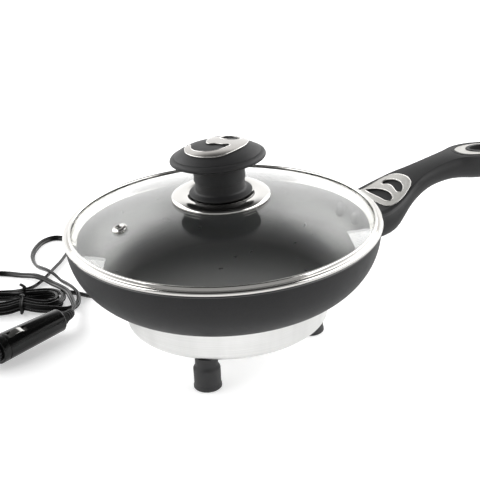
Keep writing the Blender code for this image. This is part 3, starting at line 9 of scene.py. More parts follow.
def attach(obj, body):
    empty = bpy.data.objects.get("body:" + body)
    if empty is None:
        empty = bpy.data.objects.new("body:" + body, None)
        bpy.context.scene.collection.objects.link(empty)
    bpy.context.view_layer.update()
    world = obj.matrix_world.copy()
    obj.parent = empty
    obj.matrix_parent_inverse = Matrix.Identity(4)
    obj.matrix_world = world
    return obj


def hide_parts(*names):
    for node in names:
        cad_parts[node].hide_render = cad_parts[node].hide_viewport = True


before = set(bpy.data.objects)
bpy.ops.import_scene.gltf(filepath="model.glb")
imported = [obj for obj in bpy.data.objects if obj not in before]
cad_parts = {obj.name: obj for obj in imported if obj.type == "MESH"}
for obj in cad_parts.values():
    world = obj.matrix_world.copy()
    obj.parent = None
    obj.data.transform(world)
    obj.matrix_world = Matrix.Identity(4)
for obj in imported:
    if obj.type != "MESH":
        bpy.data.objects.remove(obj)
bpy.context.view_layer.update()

scene = bpy.context.scene
for name in ("Cube", "Light", "Camera"):
    if name in bpy.data.objects:
        bpy.data.objects.remove(bpy.data.objects[name], do_unlink=True)
print("frame loaded:", len(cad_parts), "nodes")

# The axis of the pan, and the frame that faces the camera: its X runs to the right of the picture
panAxis = Matrix.Translation((-0.0875, 0, 0))
photoFrame = panAxis @ Matrix.Rotation(math.radians(-28.5), 4, "Z")
hairGap = 0.0003


# ---- small tools for modelling

def selectOnly(*pieces):
    if bpy.context.object and bpy.context.object.mode != "OBJECT":
        bpy.ops.object.mode_set(mode="OBJECT")
    bpy.ops.object.select_all(action="DESELECT")
    for piece in pieces:
        piece.select_set(True)
    if pieces:
        bpy.context.view_layer.objects.active = pieces[0]


def applyModifier(piece, kind, **settings):
    selectOnly(piece)
    modifier = piece.modifiers.new(kind.lower(), kind)
    for key, value in settings.items():
        setattr(modifier, key, value)
    bpy.ops.object.modifier_apply(modifier=modifier.name)


def settle(piece, matrix):
    # Leaves the object at the origin, with its place in its mesh
    selectOnly(piece)
    piece.matrix_world = matrix @ piece.matrix_world
    bpy.ops.object.transform_apply(location=True, rotation=True, scale=True)
    return piece


def smooth(piece, angle=35):
    selectOnly(piece)
    bpy.ops.object.shade_smooth_by_angle(angle=math.radians(angle))
    return piece


def dress(piece, finish, body, slot, *nodes):
    piece.data.materials.clear()
    piece.data.materials.append(finish.material)
    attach(piece, body)
    if nodes:
        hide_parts(*nodes)
    return piece


def copyOf(piece, name):
    twin = piece.copy()
    twin.data = piece.data.copy()
    twin.name = name
    scene.collection.objects.link(twin)
    return twin


def arcPoints(centre, radius, first, last, count):
    points = []
    for step in range(count + 1):
        angle = math.radians(first + (last - first) * step / count)
        points.append((centre[0] + radius * math.cos(angle), centre[1] + radius * math.sin(angle)))
    return points


def softened(corners, closed=True, count=5):
    # Corners are radius, height and how far the rounding reaches along each side
    points = []
    for place, corner in enumerate(corners):
        reach = corner[2] if len(corner) > 2 else 0
        here = Vector(corner[:2])
        if reach <= 0 or (not closed and place in (0, len(corners) - 1)):
            points.append(tuple(here))
            continue
        before = Vector(corners[place - 1][:2]) - here
        after = Vector(corners[(place + 1) % len(corners)][:2]) - here
        start = before.normalized() * min(reach, before.length * 0.49)
        end = after.normalized() * min(reach, after.length * 0.49)
        for step in range(count + 1):
            t = step / count
            points.append(tuple(here + start * (1 - t) ** 2 + end * t ** 2))
    return points


def spun(name, profile, steps=128, closed=True, matrix=panAxis, angle=35):
    # A profile of radius and height, drawn corner by corner and spun about the Z axis
    selectOnly()
    bpy.ops.mesh.primitive_plane_add(size=0.01)
    piece = bpy.context.object
    piece.name = name
    bpy.ops.object.mode_set(mode="EDIT")
    bpy.ops.mesh.select_mode(type="VERT")
    bpy.ops.mesh.select_all(action="SELECT")
    bpy.ops.mesh.merge(type="CENTER")
    bpy.ops.transform.translate(value=(profile[0][0], 0, profile[0][1]))
    route = list(profile) + ([profile[0]] if closed else [])
    for (r0, z0), (r1, z1) in zip(route, route[1:]):
        bpy.ops.mesh.extrude_region_move(TRANSFORM_OT_translate={"value": (r1 - r0, 0, z1 - z0)})
    bpy.ops.mesh.select_all(action="SELECT")
    bpy.ops.mesh.spin(steps=steps, angle=math.tau, center=(0, 0, 0), axis=(0, 0, 1))
    bpy.ops.mesh.select_all(action="SELECT")
    bpy.ops.mesh.remove_doubles(threshold=0.000004)
    bpy.ops.mesh.normals_make_consistent(inside=False)
    bpy.ops.object.mode_set(mode="OBJECT")
    settle(piece, matrix)
    return smooth(piece, angle)


def drawnMesh(name, splines, dimensions, **settings):
    # Closed outlines drawn as a curve, then made a mesh
    drawn = bpy.data.curves.new(name, "CURVE")
    drawn.dimensions = dimensions
    for key, value in settings.items():
        setattr(drawn, key, value)
    for outline in splines:
        spline = drawn.splines.new("POLY")
        spline.points.add(len(outline) - 1)
        for point, place in zip(spline.points, outline):
            point.co = (*place, 0, 1) if len(place) == 2 else (*place, 1)
        spline.use_cyclic_u = True
    piece = bpy.data.objects.new(name, drawn)
    scene.collection.objects.link(piece)
    selectOnly(piece)
    bpy.ops.object.convert(target="MESH")
    return bpy.context.object


def prism(name, outlines, low, high):
    # Flat outlines, with those inside others as holes, raised from one height to another
    piece = drawnMesh(name, outlines, "2D", fill_mode="BOTH", extrude=(high - low) / 2)
    bpy.ops.object.mode_set(mode="EDIT")
    bpy.ops.mesh.select_all(action="SELECT")
    bpy.ops.mesh.remove_doubles(threshold=0.000002)
    bpy.ops.mesh.normals_make_consistent(inside=False)
    bpy.ops.transform.translate(value=(0, 0, (low + high) / 2))
    bpy.ops.object.mode_set(mode="OBJECT")
    return piece


def lofted(name, rings):
    # Closed sections bridged one to the next, with both ends filled
    piece = drawnMesh(name, rings, "3D")
    bpy.ops.object.mode_set(mode="EDIT")
    bpy.ops.mesh.select_all(action="SELECT")
    bpy.ops.mesh.bridge_edge_loops(type="SINGLE")
    bpy.ops.mesh.select_all(action="DESELECT")
    bpy.ops.mesh.select_mode(type="EDGE")
    bpy.ops.mesh.select_non_manifold(extend=False, use_wire=False, use_multi_face=False,
                                     use_non_contiguous=False, use_verts=False)
    bpy.ops.mesh.fill_holes(sides=0)
    bpy.ops.mesh.select_all(action="SELECT")
    bpy.ops.mesh.normals_make_consistent(inside=False)
    bpy.ops.object.mode_set(mode="OBJECT")
    return piece


def carve(piece, cutter, operation="DIFFERENCE", keep=False):
    applyModifier(piece, "BOOLEAN", object=cutter, operation=operation, solver="EXACT")
    if not keep:
        bpy.data.objects.remove(cutter, do_unlink=True)
    return piece


def joined(name, *pieces):
    selectOnly(*pieces)
    bpy.ops.object.join()
    pieces[0].name = name
    return pieces[0]


def curveThrough(points, step, closed=False):
    # A Catmull-Rom curve with uneven knots through the points, read at about even steps
    given = [Vector(p) for p in points]
    if closed:
        given = [given[-1]] + given + given[:2]
    else:
        given = [2 * given[0] - given[1]] + given + [2 * given[-1] - given[-2]]
    route = []
    for a, b, c, d in zip(given, given[1:], given[2:], given[3:]):
        t1 = max((b - a).length, 1e-9) ** 0.5
        t2 = t1 + max((c - b).length, 1e-9) ** 0.5
        t3 = t2 + max((d - c).length, 1e-9) ** 0.5
        pieces = max(1, round((c - b).length / step))
        for k in range(pieces):
            t = t1 + (t2 - t1) * k / pieces
            ab = a.lerp(b, t / t1)
            bc = b.lerp(c, (t - t1) / (t2 - t1))
            cd = c.lerp(d, (t - t2) / (t3 - t2))
            abc = ab.lerp(bc, t / t2)
            bcd = bc.lerp(cd, (t - t1) / (t3 - t1))
            route.append(abc.lerp(bcd, (t - t1) / (t2 - t1)))
    if not closed:
        route.append(given[-2])
    return route


def tube(name, route, radius, radii=None, tilts=None, section=None, closed=False, detail=4,
         twist="MINIMUM"):
    # A drawn curve with a round or given section, then made a mesh
    drawn = bpy.data.curves.new(name, "CURVE")
    drawn.dimensions = "3D"
    drawn.twist_mode = twist
    drawn.bevel_resolution = detail
    drawn.bevel_depth = radius
    drawn.use_fill_caps = not closed
    spline = drawn.splines.new("POLY")
    spline.points.add(len(route) - 1)
    for place, (point, where) in enumerate(zip(spline.points, route)):
        point.co = (*where, 1)
        point.radius = radii[place] / radius if radii else 1
        point.tilt = tilts[place] if tilts else 0
    spline.use_cyclic_u = closed
    shape = None
    if section:
        outline = bpy.data.curves.new(name + "Section", "CURVE")
        outline.dimensions = "2D"
        ring = outline.splines.new("POLY")
        ring.points.add(len(section) - 1)
        for point, (x, y) in zip(ring.points, section):
            point.co = (x, y, 0, 1)
        ring.use_cyclic_u = True
        shape = bpy.data.objects.new(name + "Section", outline)
        scene.collection.objects.link(shape)
        drawn.bevel_mode = "OBJECT"
        drawn.bevel_object = shape
    piece = bpy.data.objects.new(name, drawn)
    scene.collection.objects.link(piece)
    selectOnly(piece)
    bpy.ops.object.convert(target="MESH")
    piece = bpy.context.object
    if shape:
        bpy.data.objects.remove(shape, do_unlink=True)
    bpy.ops.object.mode_set(mode="EDIT")
    bpy.ops.mesh.select_all(action="SELECT")
    bpy.ops.mesh.remove_doubles(threshold=0.000004)
    bpy.ops.mesh.normals_make_consistent(inside=False)
    bpy.ops.object.mode_set(mode="OBJECT")
    return smooth(piece, 50)


def along(table, share):
    # A smooth curve through a table of share and value, level at both ends
    if share <= table[0][0]:
        return table[0][1]
    for place in range(len(table) - 1):
        x0, y0 = table[place]
        x1, y1 = table[place + 1]
        if share <= x1:
            before = table[max(place - 1, 0)]
            after = table[min(place + 2, len(table) - 1)]
            slope0 = (y1 - before[1]) / (x1 - before[0])
            slope1 = (after[1] - y0) / (after[0] - x0)
            width = x1 - x0
            t = (share - x0) / width
            return ((2 * t ** 3 - 3 * t ** 2 + 1) * y0 + (t ** 3 - 2 * t ** 2 + t) * width * slope0
                    + (3 * t ** 2 - 2 * t ** 3) * y1 + (t ** 3 - t ** 2) * width * slope1)
    return table[-1][1]


# ---- camera

cameraFacts = {"yaw": 0.01119, "pitch": 0.41611, "roll": -0.05339, "lens": 120,
               "place": (0, -1.10912, 0.57907)}


def addCamera(facts):
    yaw, pitch, roll = facts["yaw"], facts["pitch"], facts["roll"]
    ahead = Vector((math.sin(yaw) * math.cos(pitch), math.cos(yaw) * math.cos(pitch),
                    -math.sin(pitch)))
    level = Vector((math.cos(yaw), -math.sin(yaw), 0))
    upright = level.cross(ahead)
    right = level * math.cos(roll) + upright * math.sin(roll)
    up = upright * math.cos(roll) - level * math.sin(roll)
    turn = Matrix((right, up, -ahead)).transposed().to_4x4()
    lens = bpy.data.cameras.new("camera")
    lens.lens = facts["lens"]
    lens.sensor_width = 36
    lens.clip_start = 0.05
    camera = bpy.data.objects.new("camera", lens)
    scene.collection.objects.link(camera)
    camera.matrix_world = photoFrame @ Matrix.Translation(facts["place"]) @ turn
    scene.camera = camera


addCamera(cameraFacts)
print("camera placed")


# ---- finishes

class Signal:
    # One socket of a node tree: sums and products on it add the Math nodes
    def __init__(self, tree, socket):
        self.tree = tree
        self.socket = socket

    def maths(self, operation, first, second=None, clip=False):
        made = self.tree.nodes.new("ShaderNodeMath")
        made.operation = operation
        made.use_clamp = clip
        for slot, value in zip(made.inputs, (first, second)):
            if isinstance(value, Signal):
                self.tree.links.new(value.socket, slot)
            elif value is not None:
                slot.default_value = value
        return Signal(self.tree, made.outputs[0])

    def __add__(self, other):
        return self.maths("ADD", self, other)

    def __sub__(self, other):
        return self.maths("SUBTRACT", self, other)

    def __rsub__(self, other):
        return self.maths("SUBTRACT", other, self)

    def __mul__(self, other):
        return self.maths("MULTIPLY", self, other)

    def __pow__(self, other):
        return self.maths("POWER", self, other)

    def clipped(self):
        return self.maths("ADD", self, 0, clip=True)

    __radd__ = __add__
    __rmul__ = __mul__


class Nodes:
    # Adds nodes to a tree: a node's settings are set first, and then its sockets
    def __init__(self, tree):
        self.tree = tree

    def feed(self, slot, value):
        if isinstance(value, Signal):
            self.tree.links.new(value.socket, slot)
        elif isinstance(value, (tuple, list)) and len(value) == 3 and slot.type == "RGBA":
            slot.default_value = (*value, 1)
        else:
            slot.default_value = value

    def add(self, kind, settings=None, output=0, **values):
        made = self.tree.nodes.new("ShaderNode" + kind)
        for key, value in (settings or {}).items():
            if key == "stops":
                ramp = made.color_ramp.elements
                while len(ramp) < len(value):
                    ramp.new(0.5)
                for stop, (place, colour) in zip(ramp, value):
                    stop.position = place
                    stop.color = (*colour, 1)
            else:
                setattr(made, key, value)
        for key, value in values.items():
            name = key.replace("_", " ")
            slot = next(s for s in made.inputs if s.enabled and s.name == name)
            self.feed(slot, value)
        shown = [s for s in made.outputs if s.enabled]
        return Signal(self.tree, shown[output] if isinstance(output, int) else made.outputs[output])

    def place(self, stretch=(1, 1, 1), turn=(0, 0, 0), shift=(0, 0, 0)):
        where = self.add("TexCoord", output="Object")
        return self.add("Mapping", Vector=where, Scale=stretch, Rotation=turn, Location=shift)

    def noise(self, scale, detail=2, roughness=0.5, **mapping):
        return self.add("TexNoise", Vector=self.place(**mapping), Scale=scale, Detail=detail,
                        Roughness=roughness)

    def blend(self, share, first, second):
        return self.add("Mix", {"data_type": "RGBA"}, Factor=share, A=(*first, 1), B=(*second, 1))


class Finish(Nodes):
    def __init__(self, name, **values):
        self.material = bpy.data.materials.new(name)
        self.material.use_nodes = True
        super().__init__(self.material.node_tree)
        self.shader = self.tree.nodes["Principled BSDF"]
        self.set(**values)

    def set(self, **values):
        for key, value in values.items():
            self.feed(self.shader.inputs[key.replace("_", " ")], value)

    def bump(self, height, strength, distance):
        self.set(Normal=self.add("Bump", Height=height, Strength=strength, Distance=distance))


cordSheath = Finish("cordSheath", Base_Color=(0.003, 0.003, 0.003, 1), Specular_IOR_Level=0.25)
cordSheath.set(Roughness=cordSheath.noise(420, 3) * 0.12 + 0.16)
cordSheath.bump(cordSheath.noise(900, 2), 0.08, 0.0003)
reliefRubber = Finish("reliefRubber", Base_Color=(0.004, 0.004, 0.004, 1), Specular_IOR_Level=0.25)
reliefRubber.set(Roughness=reliefRubber.noise(300, 3) * 0.2 + 0.42)
reliefRubber.bump(reliefRubber.noise(1600, 2), 0.2, 0.0003)


# ---- cord: one flat twin cord from the gland through the hank to the plug

cordFacts = {"radius": 0.0020, "floor": 0.0023, "lobe": 0.00125, "apart": 0.00115, "roll": 51,
             "wallOut": 0.07823, "wallHeight": 0.0400, "slope": 0.1139, "noseLength": 0.0140,
             "azimuth": 140, "fold": 6, "runShares": (0, 0.09, 0.19, 0.31, 0.52, 0.77),
             "reversal": 2.125, "end": 4.75, "outer": 0.0171, "pitch": 0.0049, "right": -0.1505,
             "run": 0.0950, "middle": 0.0895, "layer": 0.0047}
tieFacts = {"place": -0.1685, "pull": 0.0045, "lift": 0.0017, "spread": 0.0100,
            "halfWidth": 0.0012, "thickness": 0.0009}
plugFacts = {"rear": (-0.1341, 0.0372, 0.01224), "azimuth": 46, "tilt": 20, "length": 0.0660,
             "rearRadius": 0.0093, "frontRadius": 0.0112}
reliefFacts = {"length": 0.0165, "radius": 0.0050, "endRadius": 0.0036,
               "shares": ((0, 0), (0.25, 0), (0.55, 0.08), (0.8, 0.2), (1, 0.36))}
leadPoints = (
    (-0.0850, 0.0713, 0.0335), (-0.0920, 0.0775, 0.0250), (-0.0985, 0.0840, 0.0150),
    (-0.1055, 0.0905, 0.0068), (-0.1130, 0.0968, 0.0030), (-0.1205, 0.1024, 0.0023),
    (-0.1285, 0.1068, 0.0023), (-0.1365, 0.1087, 0.0023), (-0.1430, 0.1080, 0.0023))
tailPoints = (
    (-0.1425, 0.0702, 0.0062), (-0.1350, 0.0722, 0.0042), (-0.1290, 0.0760, 0.0028),
    (-0.1248, 0.0820, 0.0024), (-0.1228, 0.0900, 0.0034), (-0.1240, 0.0982, 0.0060),
    (-0.1282, 0.1065, 0.0070), (-0.1330, 0.1150, 0.0064),
    (-0.1400, 0.1265, 0.0052), (-0.1470, 0.1370, 0.0070), (-0.1530, 0.1445, 0.0073),
    (-0.1585, 0.1525, 0.0058), (-0.1630, 0.1615, 0.0034), (-0.1673, 0.1735, 0.0024),
    (-0.1696, 0.1875, 0.0023), (-0.1680, 0.2030, 0.0023), (-0.1621, 0.2180, 0.0023),
    (-0.1535, 0.2243, 0.0023), (-0.1445, 0.2220, 0.0023), (-0.1380, 0.2130, 0.0023),
    (-0.1372, 0.2000, 0.0023), (-0.1398, 0.1875, 0.0023), (-0.1440, 0.1710, 0.0023),
    (-0.1497, 0.1550, 0.0023), (-0.1540, 0.1420, 0.0023), (-0.1590, 0.1300, 0.0023),
    (-0.1660, 0.1205, 0.0023), (-0.1760, 0.1162, 0.0023), (-0.1900, 0.1155, 0.0023),
    (-0.2050, 0.1155, 0.0023), (-0.2190, 0.1175, 0.0023), (-0.2300, 0.1235, 0.0023),
    (-0.2350, 0.1340, 0.0023), (-0.2310, 0.1450, 0.0023), (-0.2205, 0.1515, 0.0023),
    (-0.2080, 0.1540, 0.0023), (-0.1955, 0.1538, 0.0023), (-0.1862, 0.1516, 0.0023),
    (-0.1770, 0.1466, 0.0030), (-0.1690, 0.1400, 0.0052), (-0.1620, 0.1335, 0.0072),
    (-0.1550, 0.1285, 0.0069), (-0.1475, 0.1212, 0.0058), (-0.1396, 0.1105, 0.0068),
    (-0.1328, 0.1004, 0.0070), (-0.1292, 0.0890, 0.0069), (-0.1266, 0.0785, 0.0073),
    (-0.1252, 0.0670, 0.0082))


def hankPoints(facts, tie):
    # Loops that spiral in on the lower layer and out again on the upper one
    runs = len(facts["runShares"])
    half = runs + facts["fold"]
    left = facts["right"] - facts["run"]
    points = []
    for k in range(round(2 * half * facts["end"]) + 1):
        turn = k / (2 * half)
        reach = facts["outer"] - facts["pitch"] * min(turn, 2 * facts["reversal"] - turn)
        back = k // half % 2
        step = k % half
        side = -1 if back else 1
        first, second = (left, facts["right"]) if back else (facts["right"], left)
        if step < runs:
            share = facts["runShares"][step]
            if back and step:
                share = 1 - facts["runShares"][-step]
            x = first + (second - first) * share
            y = side * reach
        else:
            angle = math.pi * (step - runs) / facts["fold"]
            x = second - side * reach * math.sin(angle)
            y = side * reach * math.cos(angle)
        near = math.exp(-((x - tie["place"]) / tie["spread"]) ** 2)
        y -= math.copysign(tie["pull"] * near, y)
        climbed = (turn - math.floor(facts["reversal"])) * 2 * half / runs
        z = facts["floor"] + facts["layer"] * min(max(climbed, 0), 1) + tie["lift"] * near
        points.append(Vector((x, facts["middle"] + y, z)))
    return points


def reliefRoute(facts, plug, radius):
    turn = math.radians(plug["azimuth"])
    ahead = Vector((math.cos(turn), math.sin(turn), 0))
    aside = Vector((-ahead.y, ahead.x, 0))
    start = Vector(plug["rear"])
    points = [start + ahead * facts["length"] * a + aside * facts["length"] * b
              for a, b in facts["shares"]]
    drop = (start.z - radius) * 0.25
    for k, point in enumerate(points):
        point.z -= drop * (k / (len(points) - 1)) ** 2
    return points


def twinSection(facts, perLobe=7):
    # Two round conductors side by side, with a groove between them
    half = math.acos(min(1, 0.82 * facts["apart"] / facts["lobe"]))
    outline = []
    for side in (1, -1):
        for k in range(perLobe + 1):
            angle = -math.pi + half + (math.tau - 2 * half) * k / perLobe
            if side < 0:
                angle += math.pi
            outline.append((side * facts["apart"] + facts["lobe"] * math.cos(angle),
                            facts["lobe"] * math.sin(angle)))
    return outline


def buildCord(facts, tie, plug, relief):
    turn = math.radians(facts["azimuth"])
    slope = facts["slope"]
    out = Vector((math.cos(turn) * math.cos(slope), math.sin(turn) * math.cos(slope),
                  -math.sin(slope)))
    wall = Vector((math.cos(turn) * facts["wallOut"], math.sin(turn) * facts["wallOut"],
                   facts["wallHeight"]))
    start = wall + out * (facts["noseLength"] - 0.003)
    cone = reliefRoute(relief, plug, facts["radius"])
    way = (cone[-1] - cone[-2]).normalized()
    middle = [Vector(p) for p in leadPoints] + hankPoints(facts, tie)
    middle += [Vector(p) for p in tailPoints]
    given = [start, start + out * 0.007] + middle + [cone[-1] + way * 0.0065, cone[-1] - way * 0.004]
    route = curveThrough([photoFrame @ p for p in given], 0.0025)
    passed = 0
    tilts = []
    for here, after in zip(route, route[1:] + route[-1:]):
        # The flat cord stands nearly on edge, and rolls over a little as it goes
        tilts.append(math.radians(facts["roll"]) * (1 + 0.16 * math.sin(passed * 9 + 0.4)
                                                    + 0.08 * math.sin(passed * 23 + 1.3)))
        passed += (after - here).length
    cord = tube("cord", route, facts["lobe"], tilts=tilts, section=twinSection(facts),
                twist="Z_UP")
    dress(cord, cordSheath, "pan", "cord_sheath", "cord_lead", "cord_hank", "cord_tail")
    print(f"cord modelled: {passed:.3f} m")
    return cord, route, passed


cord, cordRoute, cordLength = buildCord(cordFacts, tieFacts, plugFacts, reliefFacts)


def facing(origin, axis, out):
    # A frame whose Z runs along the axis, and whose X points out
    ahead = Vector(axis).normalized()
    across = ahead.cross(Vector(out)).normalized()
    turn = Matrix((across.cross(ahead), across, ahead)).transposed().to_4x4()
    return Matrix.Translation(origin) @ turn


def plugMatrix(facts):
    turn = math.radians(facts["azimuth"])
    tilt = math.radians(facts["tilt"])
    ahead = Vector((-math.cos(turn), -math.sin(turn), 0))
    up = Vector((0, 0, 1))
    out = up * math.cos(tilt) + up.cross(ahead) * math.sin(tilt)
    return photoFrame @ facing(facts["rear"], ahead, out)


def buildRelief(facts, plug, cordRadius):
    # A tapered sleeve with grooves round it, over the cord's end
    guide = reliefRoute(facts, plug, cordRadius)
    way = (guide[1] - guide[0]).normalized()
    route = curveThrough([photoFrame @ p for p in [guide[0] - way * 0.002] + guide], 0.0003)
    radii = []
    last = len(route) - 1
    for place in range(last + 1):
        share = place / last
        radius = facts["radius"] + (facts["endRadius"] - facts["radius"]) * share
        if share < 0.32:
            radius += 0.0009
        elif share < 0.9:
            radius -= 0.0007 * (0.5 - 0.5 * math.cos(math.tau * (share - 0.32) / 0.145)) ** 2
        if share > 0.97:
            radius -= 0.0006 * ((share - 0.97) / 0.03) ** 2
        radii.append(radius)
    relief = tube("plugRelief", route, facts["radius"], radii=radii, detail=8)
    return dress(relief, reliefRubber, "pan", "black_rubber", "plug_relief")


glandFacts = {"flange": 0.0066, "flangeTop": 0.0018, "nose": 0.0052, "end": 0.0038,
              "length": 0.0140, "grooves": 4, "grooveDepth": 0.0007}


def buildGland(facts, cordAt):
    turn = math.radians(cordAt["azimuth"])
    slope = cordAt["slope"]
    origin = Vector((math.cos(turn), math.sin(turn), 0)) * cordAt["wallOut"]
    origin.z = cordAt["wallHeight"]
    ahead = Vector((math.cos(turn) * math.cos(slope), math.sin(turn) * math.cos(slope),
                    -math.sin(slope)))
    corners = [(0.0019, facts["length"] - 0.004, 0), (0.0021, facts["length"], 0.0003),
               (facts["end"], facts["length"], 0.0008)]
    start = facts["flangeTop"] + 0.0016
    pitch = (facts["length"] - start - 0.0012) / facts["grooves"]
    for k in range(facts["grooves"]):
        high = facts["length"] - 0.0014 - pitch * k
        radius = facts["end"] + (facts["nose"] - facts["end"]) * (k + 0.4) / facts["grooves"]
        corners += [(radius, high, 0.0002), (radius - facts["grooveDepth"], high - 0.0002, 0.0002),
                    (radius - facts["grooveDepth"], high - pitch * 0.38, 0.0002),
                    (radius + 0.0001, high - pitch * 0.44, 0.0002)]
    corners += [(facts["nose"], start, 0.0004), (facts["flange"], facts["flangeTop"], 0.0005),
                (facts["flange"], 0.0002, 0.0001), (0.0046, 0.0002, 0), (0.0046, -0.0012, 0),
                (facts["flange"], -0.0014, 0.0002), (facts["flange"] - 0.0007, -0.0029, 0.0003),
                (0.0021, -0.0029, 0)]
    gland = spun("glandSleeve", softened(corners, count=4), 48,
                 matrix=photoFrame @ facing(origin, ahead, (0, 0, 1)))
    return dress(gland, reliefRubber, "pan", "black_rubber", "cord_gland")


def buildTie(facts, hank):
    # A flat twist tie round the hank at its waist, with its ends twisted together and bent out
    inner = hank["outer"] - hank["pitch"] * hank["reversal"]
    widest = inner + hank["pitch"] * (hank["end"] - hank["reversal"])
    half = max(widest, hank["outer"]) - facts["pull"] + hank["radius"] + 0.0019
    low = 0.00085
    high = hank["floor"] + hank["layer"] + facts["lift"] + hank["radius"] + 0.0017
    middle = (low + high) / 2
    tall = (high - low) / 2
    points = []
    for k in range(31):
        angle = math.radians(100 + 340 * k / 30)
        y = math.copysign(abs(math.cos(angle)) ** 0.5, math.cos(angle)) * half
        z = math.copysign(abs(math.sin(angle)) ** 0.5, math.sin(angle)) * tall
        points.append(Vector((facts["place"], hank["middle"] + y, middle + z)))
    first, last = points[0], points[-1]
    left = [first + Vector((0.0022, -0.0034, 0.0027)), first + Vector((0.0012, -0.0012, 0.0034)),
            first + Vector((-0.0008, 0.0002, 0.0021))]
    right = [last + Vector((0.0008, -0.0002, 0.0021)), last + Vector((-0.0012, 0.0014, 0.0034)),
             last + Vector((-0.0028, 0.0034, 0.0031))]
    route = curveThrough([photoFrame @ p for p in left + points + right], 0.0007)
    wide, thin = facts["halfWidth"], facts["thickness"] / 2
    section = []
    for k in range(20):
        angle = math.tau * k / 20
        core = 0.00035 * max(0, math.cos(angle * 2 + math.pi)) ** 4
        section.append((wide * math.cos(angle), (thin + core) * math.sin(angle)))
    tie = tube("cordTie", route, wide, section=section)
    return dress(tie, reliefRubber, "pan", "black_rubber", "cord_tie")


plugGloss = Finish("plugGloss", Base_Color=(0.004, 0.004, 0.004, 1), Specular_IOR_Level=0.3)
plugGloss.set(Roughness=plugGloss.noise(160, 4) * 0.14 + 0.14)
plugGloss.bump(plugGloss.noise(700, 2), 0.06, 0.0003)
chrome = Finish("chrome", Base_Color=(0.56, 0.55, 0.53, 1), Metallic=1)
chrome.set(Roughness=(chrome.noise(34, 5, 0.6) - 0.35).clipped() * 0.16 + 0.09)
zincSteel = Finish("zincSteel", Metallic=1)
zincSteel.set(Base_Color=zincSteel.blend(zincSteel.noise(500, 3), (0.46, 0.47, 0.48),
                                         (0.62, 0.62, 0.61)),
              Roughness=zincSteel.noise(260, 3) * 0.25 + 0.24)
zincSteel.bump(zincSteel.noise(900, 2), 0.15, 0.0002)


def buildPlug(facts):
    frameAt = plugMatrix(facts)
    long = facts["length"]
    rear, front = facts["rearRadius"], facts["frontRadius"]
    ring = 0.0595
    at = lambda z: rear + (front - rear) * z / long
    corners = [(0.0012, 0.0205, 0), (0.0038, 0.0205, 0), (0.0038, long, 0),
               (front, long, 0.0007), (at(ring) + 0.0001, ring + 0.0003, 0.0002),
               (at(ring) - 0.0005, ring + 0.0002, 0.0001), (at(ring) - 0.0005, ring - 0.0006, 0.0001),
               (at(ring), ring - 0.0007, 0.0002), (rear, 0.0004, 0.0016),
               (0.0062, 0, 0.0008), (0.0052, 0.0012, 0.0004), (0.0026, 0.0012, 0)]
    shells = []
    for name, side, node in (("plugUpperShell", 1, "plug_upper_shell"),
                             ("plugLowerShell", -1, "plug_lower_shell")):
        shell = spun(name, softened(corners, count=4), 72, matrix=Matrix())
        # Its half, cut at the seam, and the slot of its contact
        bpy.ops.object.mode_set(mode="EDIT")
        bpy.ops.mesh.select_all(action="SELECT")
        bpy.ops.mesh.bisect(plane_co=(side * 0.0001, 0, 0), plane_no=(side, 0, 0),
                            clear_inner=True, use_fill=True)
        bpy.ops.mesh.select_all(action="SELECT")
        bpy.ops.mesh.normals_make_consistent(inside=False)
        bpy.ops.object.mode_set(mode="OBJECT")
        outline = []
        for x, y, first in ((0.0549, 0.00215, 0), (0.0379, 0.00215, 90), (0.0379, -0.00215, 180),
                            (0.0549, -0.00215, 270)):
            outline += arcPoints((x, y), 0.0007, first, first + 90, 4)
        slot = prism("slot", [outline], 0.0066, 0.0140)
        settle(slot, Matrix(((0, 0, side, 0), (0, -side, 0, 0), (1, 0, 0, 0), (0, 0, 0, 1))))
        carve(shell, slot)
        applyModifier(shell, "BEVEL", width=0.00012, segments=2, limit_method="ANGLE",
                      angle_limit=math.radians(40))
        settle(shell, frameAt)
        smooth(shell, 30)
        shells.append(dress(shell, plugGloss, "pan", "black_plastic", node))
    return shells


contactFacts = {"start": 0.0375, "length": 0.0180, "width": 0.0050, "sheet": 0.0008,
                "base": 0.0084, "bulge": 0.0030}


def buildContacts(facts, plug):
    made = []
    for name, side, body, node in (("plugContactUpper", 1, "plug_side_upper", "plug_contact_1"),
                                   ("plugContactLower", -1, "plug_side_lower", "plug_contact_2")):
        over, under = [], []
        for k in range(33):
            share = k / 32
            rise = facts["base"] + facts["bulge"] * math.sin(math.pi * share) ** 1.5
            along = facts["start"] + facts["length"] * share
            over.append((along, rise + facts["sheet"] / 2))
            under.append((along, rise - facts["sheet"] / 2))
        spring = prism(name, [over + under[::-1]], -facts["width"] / 2, facts["width"] / 2)
        applyModifier(spring, "BEVEL", width=0.0002, segments=3, limit_method="ANGLE",
                      angle_limit=math.radians(50))
        # From the sheet that it was drawn on to the plug's own frame
        stand = Matrix(((0, side, 0, 0), (0, 0, side, 0), (1, 0, 0, 0), (0, 0, 0, 1)))
        settle(spring, plugMatrix(plug) @ stand)
        smooth(spring, 40)
        made.append(dress(spring, chrome, body, "polished_steel", node))
    return made


noseFacts = {"start": 0.0663, "length": 0.0120, "radius": 0.0088, "end": 0.0062, "flutes": 20}


